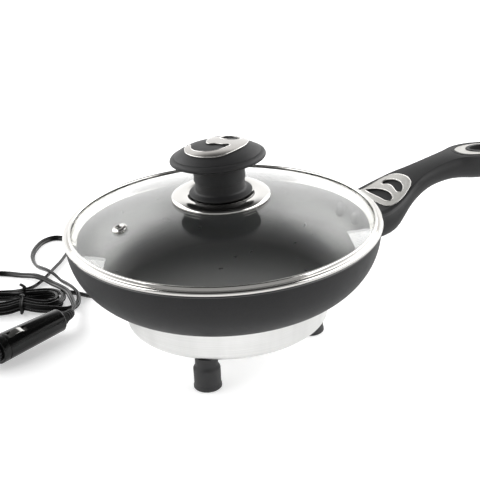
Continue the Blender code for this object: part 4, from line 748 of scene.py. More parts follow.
def buildNose(facts, plug):
    start = facts["start"]
    end = start + facts["length"]
    shoulder = start + 0.0045
    corners = [(0.0029, end, 0.0002), (facts["end"], end, 0.0009),
               (facts["radius"], start + facts["length"] * 0.42, 0.0012),
               (facts["radius"], start, 0.0005), (0.0041, start, 0), (0.0041, shoulder, 0),
               (0.0029, shoulder, 0)]
    nose = spun("plugNose", softened(corners), 80, matrix=Matrix())
    groove = spun("groove", softened([(0, 0.001, 0), (0.00055, 0.001, 0.0002),
                                      (0.00055, -0.0046, 0.0004), (0, -0.0049, 0)], False),
                  12, closed=False, matrix=Matrix.Translation((facts["radius"] + 0.0002, 0,
                                                               start + 0.0042)))
    flutes = [groove]
    for k in range(1, facts["flutes"]):
        flute = copyOf(groove, "groove")
        settle(flute, Matrix.Rotation(math.tau * k / facts["flutes"], 4, "Z"))
        flutes.append(flute)
    carve(nose, joined("grooves", *flutes))
    settle(nose, plugMatrix(plug))
    smooth(nose, 30)
    dress(nose, plugGloss, "pan", "black_plastic", "plug_nose_cap")
    point = end + 0.0055
    high = shoulder - 0.0003
    corners = [(0, point, 0), (0.0017, point, 0.0012), (0.0025, point - 0.0020, 0.0009),
               (0.0025, high, 0), (0.0036, high, 0.0002), (0.0036, high - 0.0022, 0.0002),
               (0, high - 0.0022, 0)]
    tip = spun("plugTip", softened(corners, False), 40, False, plugMatrix(plug))
    dress(tip, chrome, "plug_centre", "polished_steel", "plug_tip")
    return nose, tip


relief = buildRelief(reliefFacts, plugFacts, cordFacts["radius"])
gland = buildGland(glandFacts, cordFacts)
tie = buildTie(tieFacts, cordFacts)
plugShells = buildPlug(plugFacts)
contacts = buildContacts(contactFacts, plugFacts)
plugNose = buildNose(noseFacts, plugFacts)
print("plug modelled")


# ---- pan, base and feet

panCoat = Finish("panCoat", Specular_IOR_Level=1.0)
panCoat.set(Base_Color=panCoat.blend(panCoat.noise(900, 4, 0.7), (0.009, 0.009, 0.0095),
                                     (0.020, 0.020, 0.021)),
            Roughness=panCoat.noise(90, 4) * 0.12 + 0.24)
panCoat.bump(panCoat.noise(1300, 3), 0.16, 0.0003)
brushedBase = Finish("brushedBase", Metallic=1)
# Fine rings of brushing round the base, mixed with broad upright bands of painted sheen that stand in for
# the streaked highlights of brushed steel
brushingAndPaintedSheen = (brushedBase.noise(1, 4, 0.7, stretch=(14, 14, 1500)) * 0.6
           + brushedBase.noise(1, 3, 0.6, stretch=(70, 70, 2)) * 0.4)
brushedBase.set(Base_Color=brushedBase.blend(brushingAndPaintedSheen, (0.50, 0.50, 0.49), (0.88, 0.88, 0.87)),
    Roughness=brushedBase.noise(1, 3, stretch=(9, 9, 900)) * 0.2 + 0.24)
brushedBase.bump(brushedBase.noise(1, 3, stretch=(14, 14, 2600)), 0.2, 0.0001)
panInside = Finish("panInside", Specular_IOR_Level=0.25)
panInside.set(Base_Color=panInside.blend(panInside.noise(900, 4, 0.7), (0.007, 0.007, 0.0075),
                                         (0.019, 0.019, 0.020)),
              Roughness=panInside.noise(90, 4) * 0.12 + 0.5)
panInside.bump(panInside.noise(1100, 3), 0.2, 0.0003)
rivetCoat = Finish("rivetCoat", Base_Color=(0.055, 0.055, 0.056, 1))
rivetCoat.set(Roughness=rivetCoat.noise(300, 3) * 0.15 + 0.28)
rivetCoat.bump(rivetCoat.noise(900, 2), 0.15, 0.0002)
rubberFoot = Finish("rubberFoot", Base_Color=(0.018, 0.018, 0.019, 1))
rubberFoot.set(Roughness=rubberFoot.noise(240, 3) * 0.2 + 0.5)
rubberFoot.bump(rubberFoot.noise(1500, 2), 0.25, 0.0003)

panFacts = {"rim": 0.1195, "side": 0.0490, "wall": 0.0025, "floor": 0.0030, "bottom": 0.0500,
            "top": 0.0995, "rimRound": 0.0008}


def panWall(facts, offset, first, last, count):
    centre = (facts["rim"] - facts["side"], facts["bottom"] + facts["side"])
    return arcPoints(centre, facts["side"] + offset, first, last, count)


def buildPan(facts):
    lip = facts["rimRound"]
    inside = facts["rim"] - facts["wall"]
    start = math.degrees(math.acos((facts["side"] - facts["floor"]) / (facts["side"] - facts["wall"])))
    profile = [(0, facts["bottom"] + facts["floor"])]
    profile += panWall(facts, -facts["wall"], start - 90, 0, 30)
    profile += arcPoints((inside + lip, facts["top"] - lip), lip, 180, 90, 4)
    profile += arcPoints((facts["rim"] - lip, facts["top"] - lip), lip, 90, 0, 4)
    profile += panWall(facts, 0, 0, -90, 30)
    profile.append((0, facts["bottom"]))
    pan = dress(spun("pan", profile, 192, False), panCoat, "pan", "pan_coating", "pan_body")
    # The non-stick coat of its inside is duller than the enamel outside
    pan.data.materials.append(panInside.material)
    middle = panAxis.translation.xy
    for face in pan.data.polygons:
        away = face.normal.xy.dot(face.center.xy - middle)
        if face.normal.z > -0.01 and away < 0.0001:
            face.material_index = 1
    return pan


baseFacts = {"bottom": 0.0265, "wallBottom": 0.0320, "wallTop": 0.0499, "lowRadius": 0.0768,
             "topRadius": 0.0795, "corner": 0.0055, "sheet": 0.0008, "grooveRise": 0.0036}


def buildBase(facts):
    low = facts["lowRadius"] + (facts["topRadius"] - facts["lowRadius"]) * 0.234
    corner = (low - facts["corner"], facts["wallBottom"])
    sheet = facts["sheet"]
    outer = [(facts["topRadius"], facts["wallTop"])]
    outer += [(low, facts["wallBottom"] + 0.0001)]
    outer += arcPoints(corner, facts["corner"], 0, -90, 10)
    # A shallow pressed ring and a raised middle on the underside
    under = softened([(0.0700, facts["bottom"], 0), (0.0560, facts["bottom"], 0.0010),
                      (0.0550, facts["bottom"] + 0.0003, 0.0004), (0.0240, facts["bottom"] + 0.0003,
                      0.0010), (0.0230, facts["bottom"] + 0.0005, 0.0004),
                      (0, facts["bottom"] + 0.0005, 0)], False, 3)
    inner = [(0, facts["bottom"] + sheet)]
    inner += arcPoints(corner, facts["corner"] - sheet, -90, 0, 8)
    inner += [(facts["topRadius"] - sheet, facts["wallTop"])]
    profile = inner + outer + under
    return dress(spun("base", profile, 160, False), brushedBase, "pan", "base_steel", "base_shell")


footFacts = {"azimuths": (-134, -14, 106), "circle": 0.0665, "height": 0.0262, "radius": 0.0102,
             "top": 0.0086, "neck": 0.0192, "shoulder": 0.0168, "lip": 0.0106, "lipHeight": 0.0030}


def buildFeet(facts):
    corners = [(0.0020, facts["height"], 0), (facts["top"], facts["height"], 0.0004),
               (facts["top"], facts["neck"], 0.0008), (facts["radius"], facts["shoulder"], 0.0008),
               (facts["radius"] - 0.0001, facts["lipHeight"] * 1.3, 0.0006),
               (facts["lip"], facts["lipHeight"], 0.0005), (facts["lip"], 0.0009, 0.0003),
               (facts["lip"] - 0.0009, 0, 0.0003), (0.0056, 0, 0.0003), (0.0053, 0.0005, 0.0002),
               (0.0041, 0.0005, 0.0002), (0.0041, 0.0090, 0), (0.0020, 0.0090, 0)]
    first = spun("foot1", softened(corners), 48, matrix=Matrix())
    feet = []
    for k, azimuth in enumerate(facts["azimuths"]):
        foot = copyOf(first, f"foot{k + 1}") if k else first
        feet.append(foot)
    for k, (foot, azimuth) in enumerate(zip(feet, facts["azimuths"])):
        turn = math.radians(azimuth)
        where = (facts["circle"] * math.cos(turn), facts["circle"] * math.sin(turn), 0)
        settle(foot, panAxis @ Matrix.Translation(where))
        dress(foot, rubberFoot, "pan", "black_rubber", f"foot_{k + 1}")
    return feet


rivetFacts = {"azimuths": (-5.4, 5.4), "drop": 21.5, "head": 0.0058, "headHeight": 0.0026,
              "shank": 0.0021, "seatGap": 0.0009, "tail": 0.0034, "tailHeight": 0.0014}


def buildRivets(facts, pan):
    drop = math.radians(facts["drop"])
    out, height = panWall(pan, 0, -facts["drop"], -facts["drop"], 1)[0]
    head = -pan["wall"] - facts["seatGap"]
    tail = 0.0026
    ball = (facts["head"] ** 2 + facts["headHeight"] ** 2) / (2 * facts["headHeight"])
    dome = []
    for k in range(13):
        reach = facts["head"] * 0.94 * (1 - k / 12)
        dome.append((reach, head - math.sqrt(ball ** 2 - reach ** 2) + ball - facts["headHeight"]))
    corners = [(0, tail + facts["tailHeight"], 0), (facts["tail"] * 0.7, tail + facts["tailHeight"],
               0.0005), (facts["tail"], tail + facts["tailHeight"] / 2, 0.0004),
               (facts["tail"], tail, 0.0001), (facts["shank"], tail, 0), (facts["shank"], head, 0),
               (facts["head"], head, 0.0001), (facts["head"], head - 0.0003, 0.0001)]
    profile = softened(corners, False, 3) + dome
    rivets = []
    for k, azimuth in enumerate(facts["azimuths"]):
        frameAt = (panAxis @ Matrix.Rotation(math.radians(azimuth), 4, "Z")
                   @ Matrix.Translation((out, 0, height)) @ Matrix.Rotation(math.pi / 2 + drop, 4, "Y"))
        rivet = spun(f"rivet{k + 1}", profile, 48, False, frameAt)
        rivets.append(dress(rivet, rivetCoat, "pan", "pan_coating", f"handle_rivet_{k + 1}"))
    return rivets


pan = buildPan(panFacts)
base = buildBase(baseFacts)
feet = buildFeet(footFacts)
rivets = buildRivets(rivetFacts, panFacts)
print("pan, base and feet modelled")


# ---- lid

lidFacts = {"rim": 0.1210, "bandBottom": 0.0998, "bandTop": 0.1060, "bead": (0.1157, 0.1049),
            "beadRadius": 0.0011, "valley": (0.11735, 0.1032), "roll": (0.1190, 0.1018),
            "rollRadius": 0.0019,
            "curl": 0.0008, "curlAt": (0.1106, 0.0957), "seatLow": 0.1004,
            "ball": 0.28549, "glassTop": 0.1280, "glassEdge": 0.1153, "glass": 0.0030,
            "hole": 0.0042, "ventOut": 0.0810,
            "ventAzimuth": 172.5}


def glassHeight(facts, radius):
    return facts["glassTop"] - facts["ball"] + math.sqrt(facts["ball"] ** 2 - radius ** 2)


lidGlass = Finish("lidGlass", Base_Color=(0.95, 0.955, 0.94, 1), IOR=1.48, Transmission_Weight=1)
lidGlass.set(Roughness=(lidGlass.noise(22, 4, 0.6) - 0.45).clipped() * 0.03)
clearTint = {"shadow": (0.9, 0.92, 0.91)}


def letLampsThrough(finish, facts):
    # Shadow rays pass the glass, so that the lamps light what is under it
    shadow = finish.add("LightPath", output="Is Shadow Ray")
    clear = finish.add("BsdfTransparent", Color=facts["shadow"])
    mixed = finish.tree.nodes.new("ShaderNodeMixShader")
    finish.feed(mixed.inputs[0], shadow)
    finish.tree.links.new(finish.shader.outputs[0], mixed.inputs[1])
    finish.feed(mixed.inputs[2], clear)
    finish.tree.links.new(mixed.outputs[0], finish.tree.nodes["Material Output"].inputs["Surface"])


letLampsThrough(lidGlass, clearTint)


def buildGlass(facts):
    outer = []
    for k in range(41):
        radius = facts["hole"] + (facts["glassEdge"] - 0.0005 - facts["hole"]) * k / 40
        outer.append((radius, glassHeight(facts, radius)))
    inner = [(radius, height - facts["glass"]) for radius, height in outer]
    edge, top = facts["glassEdge"], glassHeight(facts, facts["glassEdge"])
    bend = softened([(*outer[-1], 0), (edge, top, 0.0004), (edge, top - facts["glass"], 0.0004),
                     (*inner[-1], 0)], False, 4)
    glass = spun("glassLid", outer + bend[1:-1] + inner[::-1], 192)
    frameAt = ventMatrix(facts)
    bpy.ops.mesh.primitive_cylinder_add(vertices=40, radius=0.0035, depth=0.02)
    cutter = bpy.context.object
    settle(cutter, frameAt)
    carve(glass, cutter)
    smooth(glass, 30)
    return dress(glass, lidGlass, "lid", "clear_glass", "lid_glass")


def ventMatrix(facts):
    height = glassHeight(facts, facts["ventOut"])
    return (panAxis @ Matrix.Rotation(math.radians(facts["ventAzimuth"]), 4, "Z")
            @ Matrix.Translation((facts["ventOut"], 0, height))
            @ Matrix.Rotation(math.asin(facts["ventOut"] / facts["ball"]), 4, "Y"))


def buildBand(facts):
    profile = arcPoints(facts["bead"], facts["beadRadius"], 196, 25, 14)
    profile.append(facts["valley"])
    profile += arcPoints(facts["roll"], facts["rollRadius"], 120, -90, 20)
    # The skirt under the glass slopes inwards to a curled edge
    curl, seat = facts["curlAt"], facts["seatLow"]
    profile += softened([(0.1160, facts["bandBottom"], 0), (0.1144, facts["bandBottom"], 0.0010),
                         (curl[0] + 0.0007, curl[1] + 0.0004, 0)], False, 3)
    profile += arcPoints(curl, facts["curl"], -45, -225, 14)
    profile += softened([(curl[0] + 0.0002, curl[1] + 0.0012, 0), (0.1139, seat, 0.0010),
                         (0.1158, seat, 0), (0.1158, 0.1046, 0)], False, 3)
    return dress(spun("band", profile, 192), chrome, "lid", "polished_steel", "lid_band")


def buildVent(facts):
    corners = [(0.0020, 0.0009, 0.0004), (0.0030, 0.0018, 0.0006), (0.0042, 0.0018, 0.0008),
               (0.0057, 0.0010, 0.0005), (0.0057, 0.0003, 0.0001), (0.0031, 0.0003, 0),
               (0.0031, -0.0036, 0), (0.0045, -0.0036, 0.0001), (0.0045, -0.0046, 0.0004),
               (0.0020, -0.0046, 0.0004)]
    vent = spun("vent", softened(corners), 48, matrix=ventMatrix(facts))
    return dress(vent, chrome, "lid", "polished_steel", "vent_eyelet")


glass = buildGlass(lidFacts)
band = buildBand(lidFacts)
vent = buildVent(lidFacts)
print("lid modelled")


# ---- knob

softBlack = Finish("softBlack", Specular_IOR_Level=0.25)
softBlack.set(Base_Color=softBlack.blend(softBlack.noise(700, 4, 0.7), (0.009, 0.009, 0.0095),
                                         (0.017, 0.017, 0.0175)),
              Roughness=softBlack.noise(120, 4) * 0.1 + 0.46)
softBlack.bump(softBlack.noise(2400, 2), 0.22, 0.0002)

silicone = Finish("silicone", Specular_IOR_Level=0.4)
silicone.set(Base_Color=silicone.blend(silicone.noise(200, 3), (0.60, 0.60, 0.58),
                                       (0.70, 0.70, 0.67)), Roughness=silicone.noise(200, 2) * 0.2 + 0.35)

knobFacts = {"height": 0.1315, "lean": 1.8, "crownBack": 3.0, "crownLean": 0.8, "pivot": 0.026,
             "waist": 0.0192, "ring": 0.0085, "neck": 0.0187, "sink": 0.0022, "foot": 0.0238,
             "lip": 0.0361, "lipLow": 0.0238, "lipTop": 0.0287, "cap": 0.0328, "capSeat": 0.0289,
             "capHeight": 0.0069, "capPower": 3.3}
knobMatrix = (photoFrame @ Matrix.Translation((0, 0, knobFacts["height"]))
              @ Matrix.Rotation(-math.radians(knobFacts["lean"]), 4, "Y"))
# Its crown leans back a little on the stem
crownMatrix = (knobMatrix @ Matrix.Translation((0, 0, knobFacts["pivot"]))
               @ Matrix.Rotation(-math.radians(knobFacts["crownBack"]), 4, "X")
               @ Matrix.Rotation(-math.radians(knobFacts["crownLean"]), 4, "Y")
               @ Matrix.Translation((0, 0, -knobFacts["pivot"])))
# The plate is dished under the foot of the stem, and turned down to the glass at its edge
plateFacts = {"sheet": 0.0008, "hole": 0.0042, "radius": 0.0372,
              "top": ((0.0042, 0.1284, 0), (0.0240, 0.1284, 0.0008), (0.0262, 0.1295, 0.0014),
                      (0.0305, 0.1300, 0.0022), (0.0352, 0.1288, 0.0022), (0.0372, 0.1274, 0.0009)),
              "spacer": (0.0046, 0.0090)}


def buildPlate(facts, lid):
    sheet, edge = facts["sheet"], facts["radius"]
    rest = glassHeight(lid, edge - sheet) + hairGap
    under = [(radius - sheet * 0.5, height - sheet, reach) for radius, height, reach in facts["top"]]
    under[0] = (facts["hole"], facts["top"][0][1] - sheet, 0)
    corners = list(facts["top"]) + [(edge, rest + 0.0001, 0.0002), (edge - sheet * 0.8, rest, 0.0001)]
    corners += under[::-1]
    plate = spun("knobPlate", softened(corners, True, 6), 128)
    dress(plate, chrome, "lid", "polished_steel", "knob_plate")
    # The clear seal that carries the dish on the glass
    inner, outer = facts["spacer"]
    low, high = glassHeight(lid, inner) + hairGap * 0.2, facts["top"][0][1] - sheet
    seal = spun("knobSeal", softened([(inner, low, 0), (inner, high, 0.0001), (outer, high, 0.0001),
                                      (outer, low - 0.0001, 0)], True, 3), 64)
    dress(seal, silicone, "lid", "black_rubber", "knob_spacer")
    return plate, seal


def buildStem(facts):
    waist, ring, sink = facts["waist"], facts["ring"], facts["sink"]
    top = facts["capSeat"] - 0.0013
    corners = [(0, top, 0), (waist, top, 0), (waist, facts["lipLow"], 0),
               (waist + 0.0005, facts["lipLow"] - 0.003, 0.0020), (waist, ring + 0.0060, 0.0030),
               (waist + 0.0003, ring + 0.0006, 0.0003), (waist - 0.0006, ring + 0.0004, 0.0001),
               (waist - 0.0006, ring - 0.0002, 0.0001), (facts["neck"], ring - 0.0006, 0.0004),
               (facts["neck"], 0.0032 - sink, 0.0016), (facts["foot"] - 0.0012, 0.0018 - sink, 0.0010),
               (facts["foot"], 0.0013 - sink, 0.0003), (facts["foot"], 0.0005 - sink, 0.0003),
               (facts["foot"] - 0.0006, -sink, 0.0002), (0, -sink, 0)]
    stem = spun("knobStem", softened(corners, False, 6), 112, False, knobMatrix)
    return dress(stem, softBlack, "lid", "black_plastic", "knob_stem")


def buildLip(facts):
    hole, edge = facts["waist"] + hairGap * 2, facts["lip"]
    top, low = facts["lipTop"], facts["lipLow"]
    corners = [(hole, top, 0), (facts["cap"] + 0.0003, top, 0.0002),
               (edge - 0.0010, top - 0.0009, 0.0012), (edge, top - 0.0027, 0.0014),
               (edge - 0.0003, low + 0.0009, 0.0010), (edge - 0.0018, low - 0.0001, 0.0010),
               (edge - 0.0075, low + 0.0003, 0.0020), (hole, low, 0)]
    lip = spun("knobLip", softened(corners, True, 6), 144, True, crownMatrix)
    return dress(lip, softBlack, "lid", "black_plastic", "knob_lip")


def capTop(facts, share):
    return facts["capSeat"] + facts["capHeight"] * (1 - share ** facts["capPower"])


def capProfile(facts, lift=0):
    profile = []
    for k in range(41):
        share = math.sin(math.pi / 2 * k / 40)
        profile.append((facts["cap"] * share, capTop(facts, share) + lift))
    return profile


def buildCap(facts):
    profile = capProfile(facts) + [(0, facts["capSeat"])]
    return dress(spun("knobCap", profile, 144, False, crownMatrix), softBlack, "lid",
                 "black_plastic", "knob_cap")


inlayFace = Finish("inlayFace", Metallic=1)
inlayFace.set(Base_Color=inlayFace.blend(inlayFace.noise(60, 4, 0.6), (0.28, 0.265, 0.25),
                                         (0.42, 0.405, 0.385)),
              Roughness=inlayFace.noise(90, 3) * 0.1 + 0.1)

# The inlay's outline in millimetres, to the right and to the back of the knob's middle
inlayFacts = {
    "outline": ((-23.4, 4), (-22, 7.2), (-20.4, 7), (-19.2, 3.4), (-19.1, -2.3), (-17, -8.9),
                (-13.1, -13), (-7.5, -15.6), (-1.9, -15.8), (3.8, -13.4), (7.8, -10.3),
                (10.1, -7.7), (9.5, -5.5), (5.1, -4.6), (1.8, -2.2), (-1.6, -0.6), (-5, -0.2),
                (-7.1, 2.2), (-7.2, 5.4), (-6.3, 11.4), (-4.4, 15.8), (-1.2, 18.8), (3.3, 20.5),
                (9.4, 20.6), (15.5, 18.2), (20.9, 13.8), (23.5, 10.2), (23.9, 4.9), (21.4, -5.3),
                (17.8, -11.6), (12.6, -17.6), (7.9, -21.4), (3.4, -23.8), (-1.1, -24.7),
                (-7.8, -23.5), (-13.4, -21), (-19, -15.9), (-22.9, -8.6), (-23.7, -0.7)),
    "hole": ((2.7, 12.4), (4.4, 15), (7.2, 16.6), (11.1, 16.9), (15.7, 14.6), (18.9, 11.2),
             (17.8, 7.9), (13.3, 6), (8.8, 6.5), (4.8, 9.4)),
    "low": 0.0003, "high": 0.0009, "rim": 0.00034}


def rimTube(name, outline, height, radius, matrix):
    route = [Vector((p.x, p.y, height(p.x, p.y))) for p in outline]
    return settle(tube(name, route, radius, closed=True, detail=3), matrix)


def buildInlay(facts, knob):
    smoothOutlines = []
    for key in ("outline", "hole"):
        given = [(x / 1000, y / 1000, 0) for x, y in facts[key]]
        smoothOutlines.append(curveThrough(given, 0.0007, closed=True))
    flat = [[(p.x, p.y) for p in outline] for outline in smoothOutlines]
    inlay = prism("inlay", flat, knob["capSeat"], knob["capSeat"] + 0.012)
    high = spun("inlayHigh", capProfile(knob, facts["high"]) + [(knob["cap"], knob["capSeat"] - 0.002),
                (0, knob["capSeat"] - 0.002)], 144, False, Matrix())
    carve(inlay, high, "INTERSECT")
    low = spun("inlayLow", capProfile(knob, facts["low"]) + [(knob["cap"], knob["capSeat"] - 0.002),
               (0, knob["capSeat"] - 0.002)], 144, False, Matrix())
    carve(inlay, low)

    def height(x, y):
        share = min(math.hypot(x, y) / knob["cap"], 1)
        return capTop(knob, share) + facts["high"] - facts["rim"] * 0.35

    settle(inlay, crownMatrix)
    smooth(inlay, 30)
    rims = joined("inlayRims", *[rimTube("inlayRim", outline, height, facts["rim"], crownMatrix)
                                 for outline in smoothOutlines])
    dress(rims, chrome, "lid", "polished_steel")
    return dress(inlay, inlayFace, "lid", "polished_steel", "knob_inlay"), rims


plate = buildPlate(plateFacts, lidFacts)
stem = buildStem(knobFacts)
lip = buildLip(knobFacts)
cap = buildCap(knobFacts)
inlay = buildInlay(inlayFacts, knobFacts)
print("knob modelled")


# ---- handle

gripFacts = {"start": 0.1040, "end": 0.2960, "root": 0.0915, "depth": 0.0315, "half": 0.0220,
             "crown": 0.0010, "panGap": 0.0006,
             "ridge": ((0, 0.0892), (0.109, 0.0892), (0.167, 0.0899), (0.229, 0.0936),
                       (0.271, 0.0967), (0.318, 0.1004), (0.396, 0.1047), (0.479, 0.1078),
                       (0.568, 0.1098), (0.635, 0.1098), (0.714, 0.1084), (0.792, 0.1062),
                       (0.865, 0.1034), (0.938, 0.0996), (1, 0.0954)),
             "top": ((0, 0.0242), (0.109, 0.0254), (0.167, 0.0256), (0.229, 0.0236),
                     (0.271, 0.0211), (0.318, 0.0175), (0.396, 0.0126), (0.479, 0.0108),
                     (0.568, 0.0117), (0.615, 0.0147), (0.645, 0.0163), (0.714, 0.0178),
                     (0.792, 0.0175), (0.865, 0.0162), (0.938, 0.0126), (1, 0.0048)),
             "bottom": ((0, 0.841), (0.042, 0.937), (0.083, 0.987), (0.135, 1), (0.203, 0.968),
                        (0.24, 0.873), (0.271, 0.67), (0.307, 0.429), (0.352, 0.238),
                        (0.396, 0.111), (0.453, 0.029), (0.526, 0.003), (0.583, 0.038),
                        (0.667, 0.146), (0.76, 0.21), (0.854, 0.197), (0.938, 0.095), (1, -0.032)),
             "width": ((0, 0.977), (0.083, 1), (0.188, 0.977), (0.271, 0.877), (0.354, 0.736),
                       (0.448, 0.636), (0.552, 0.664), (0.656, 0.773), (0.76, 0.845),
                       (0.854, 0.818), (0.927, 0.682), (0.974, 0.464), (1, 0.236)),
             "section": ((0, 0, 0, 0), (0.3, 0, 0.09, 0), (0.6, 0, 0.36, 0), (0.82, 0, 0.67, 0),
                         (0.94, 0, 0.9, 0.003), (1, 0, 1, 0.03), (0.68, 0.34, 1, 0.12),
                         (0.25, 0.76, 1, 0.25), (0, 1, 1, 0.42), (0, 0.97, 1, 0.62),
                         (0, 0.86, 1, 0.82), (0, 0.62, 1, 0.96), (0, 0.33, 1, 1), (0, 0, 1, 1))}
trimFacts = {"proud": 0.0003, "thick": 0.0010, "rim": 0.00042,
             "outline": ((134.2, 10.0), (135.2, 16.0), (138.4, 19.2), (143, 18.9), (148.5, 18.0),
                         (156.5, 17.0), (162.3, 13.9), (166, 8.9), (168, 2.2), (168.2, -4.6),
                         (166.4, -10.4), (163.3, -14.4), (158.6, -17.5), (152, -20.6),
                         (144.6, -22.4), (139.4, -21.9), (136.2, -18), (135, -10.5), (134.6, 0)),
             "leafA": ((141, 16), (144.4, 12), (147.1, 6.6), (148.7, 0.3), (149, -6.4),
                       (147.3, -12.5), (144.9, -15.7), (142, -16), (140.5, -12.6), (140.1, -6.2),
                       (139.8, 2), (139.8, 10)),
             "leafB": ((153.1, 11), (156.6, 11.1), (159.3, 7.9), (161.3, 2.2), (161.4, -4.5),
                       (159, -10.4), (156, -13.8), (153.5, -13.8), (152.4, -11.9), (153.3, -7),
                       (154.7, -1.8), (154.4, 3.9), (152.5, 7.3))}
endFacts = {"middle": 0.2512, "halfLength": 0.0303, "halfWidth": 0.0138, "power": 2.5,
            "sink": 0.0005, "thick": 0.0010, "ring": (0.0207, 0.0098), "hole": (0.0176, 0.0070),
            "groove": (0.0338, 0.0158), "grooveRadius": 0.0006}
screwFacts = {"place": 0.1590, "seat": 0.0785, "bore": 0.0040}


def gripSizes(facts, x):
    # The height of its ridge and its underside, and half its width over the top and at the sides
    share = (x - facts["start"]) / (facts["end"] - facts["start"])
    bottom = facts["root"] - facts["depth"] * along(facts["bottom"], share)
    return (along(facts["ridge"], share), bottom, along(facts["top"], share),
            facts["half"] * along(facts["width"], share))


def gripTop(facts, x, y):
    ridge, bottom, topHalf, half = gripSizes(facts, x)
    return ridge - facts["crown"] * min(abs(y) / topHalf, 1) ** 2


def gripRings(facts, lift=0):
    # One smooth section, carried along the grip and rounded off at its end
    right = [Vector(p) for p in facts["section"]]
    left = [Vector((-p[0], -p[1], p[2], p[3])) for p in right[-2:0:-1]]
    section = curveThrough(right + left, 0.045, closed=True)
    crown = facts["crown"]
    rings = []
    places = [(k / 64 * 0.985, 1) for k in range(65)]
    places += [(0.985 + 0.015 * math.sin(k * math.pi / 16), math.cos(k * math.pi / 16) ** 0.8)
               for k in range(1, 8)]
    for share, scale in places:
        x = facts["start"] + (facts["end"] - facts["start"]) * share
        top, bottom, topHalf, half = gripSizes(facts, x)
        side = top - crown - bottom
        middle = (top + bottom) / 2
        rings.append([(x, (topHalf * a + half * b) * scale,
                       middle + (top - crown * c - side * d - middle) * scale + lift)
                      for a, b, c, d in section])
    return rings


def oval(middle, halfLength, halfWidth, power=2.0, count=72):
    points = []
    for k in range(count):
        angle = math.tau * k / count
        x, y = math.cos(angle), math.sin(angle)
        points.append((middle + halfLength * math.copysign(abs(x) ** (2 / power), x),
                       halfWidth * math.copysign(abs(y) ** (2 / power), y)))
    return points


def grown(outline, by):
    # An outline moved outwards by a little
    area = sum(a[0] * b[1] - b[0] * a[1] for a, b in zip(outline, outline[1:] + outline[:1]))
    turn = math.copysign(1, area)
    moved = []
    for place, here in enumerate(outline):
        before, after = Vector(outline[place - 1]), Vector(outline[(place + 1) % len(outline)])
        way = (after - before).normalized()
        moved.append((here[0] + way.y * by * turn, here[1] - way.x * by * turn))
    return moved


def smoothOutline(points):
    # From millimetres
    given = [(x / 1000, y / 1000, 0) for x, y in points]
    return [(p.x, p.y) for p in curveThrough(given, 0.0008, closed=True)]


def followGrip(name, outlines, facts, high, low):
    # A plate that follows the top of the grip, from one height over it to another
    plate = prism(name, outlines, 0.05, 0.13)
    carve(plate, lofted("high", gripRings(facts, high)), "INTERSECT")
    carve(plate, lofted("low", gripRings(facts, low)))
    return plate


def rimsOn(name, outlines, facts, lift, radius):
    rims = []
    for outline in outlines:
        route = [Vector((x, y, gripTop(facts, x, y) + lift)) for x, y in outline]
        rims.append(tube(name, route, radius, closed=True, detail=3))
    return rims


satinTrim = Finish("satinTrim", Metallic=1)
satinTrim.set(Base_Color=satinTrim.blend(satinTrim.noise(1500, 3, 0.8), (0.42, 0.41, 0.39),
                                         (0.66, 0.65, 0.62)),
              Roughness=satinTrim.noise(700, 3) * 0.2 + 0.3)
satinTrim.bump(satinTrim.noise(1900, 3, 0.7), 0.5, 0.0003)


def buildGrip(facts, trim, end, pan, screw):
    grip = lofted("grip", gripRings(facts))
    gap = facts["panGap"]
    room = [(0, pan["top"] + 0.002), (pan["rim"] + gap, pan["top"] + 0.002)]
    room += panWall(pan, gap, 0, -90, 30) + [(0, pan["bottom"] - gap)]
    carve(grip, spun("panRoom", room, 192, closed=False, matrix=Matrix()))
    # Room for the bracket: a pocket along the pan's wall, and a slot for its tongue
    pocket = [(0.1000, 0.0670), (0.1000, 0.0875)]
    pocket += panWall(pan, 0.0045, -13.5, -35.5, 8)
    cutter = spun("pocket", pocket, 192, True, Matrix())
    bpy.ops.object.mode_set(mode="EDIT")
    for side in (1, -1):
        bpy.ops.mesh.select_all(action="SELECT")
        bpy.ops.mesh.bisect(plane_co=(0, side * 0.0168, 0), plane_no=(0, side, 0),
                            clear_outer=True, use_fill=True)
    bpy.ops.mesh.select_all(action="SELECT")
    bpy.ops.mesh.bisect(plane_co=(0.05, 0, 0), plane_no=(-1, 0, 0), clear_outer=True, use_fill=True)
    bpy.ops.mesh.select_all(action="SELECT")
    bpy.ops.mesh.normals_make_consistent(inside=False)
    bpy.ops.object.mode_set(mode="OBJECT")
    carve(grip, cutter)
    slot = prism("slot", [[(0.105, 0.0058), (0.1657, 0.0058), (0.1657, -0.0058), (0.105, -0.0058)]],
                 0.0812, 0.0848)
    carve(grip, slot)
    place = screw["place"]
    carve(grip, prism("bore", [oval(place, 0.0020, 0.0020, count=32)], 0.07, 0.0905))
    carve(grip, prism("well", [oval(place, screw["bore"], screw["bore"], count=40)], 0.05,
                      screw["seat"]))
    # Recesses for the two trims, and the hole to hang it by
    carve(grip, followGrip("room", [grown(smoothOutline(trim["outline"]), 0.0003)], facts, 0.004,
                           -0.0012))
    flat = [oval(end["middle"], end["halfLength"] + 0.0005, end["halfWidth"] + 0.0005, end["power"]),
            oval(end["middle"], *end["ring"])]
    carve(grip, followGrip("room", flat, facts, 0.004, -0.0018))
    carve(grip, prism("hole", [oval(end["middle"], *end["hole"])], 0.06, 0.13))
    groove = oval(end["middle"], *end["groove"], end["power"])
    carve(grip, rimsOn("groove", [groove], facts, 0.0001, end["grooveRadius"])[0])
    applyModifier(grip, "BEVEL", width=0.0004, segments=3, limit_method="ANGLE",
                  angle_limit=math.radians(50), use_clamp_overlap=True)
    settle(grip, panAxis)
    smooth(grip, 35)
    return dress(grip, softBlack, "pan", "black_plastic", "handle_grip")


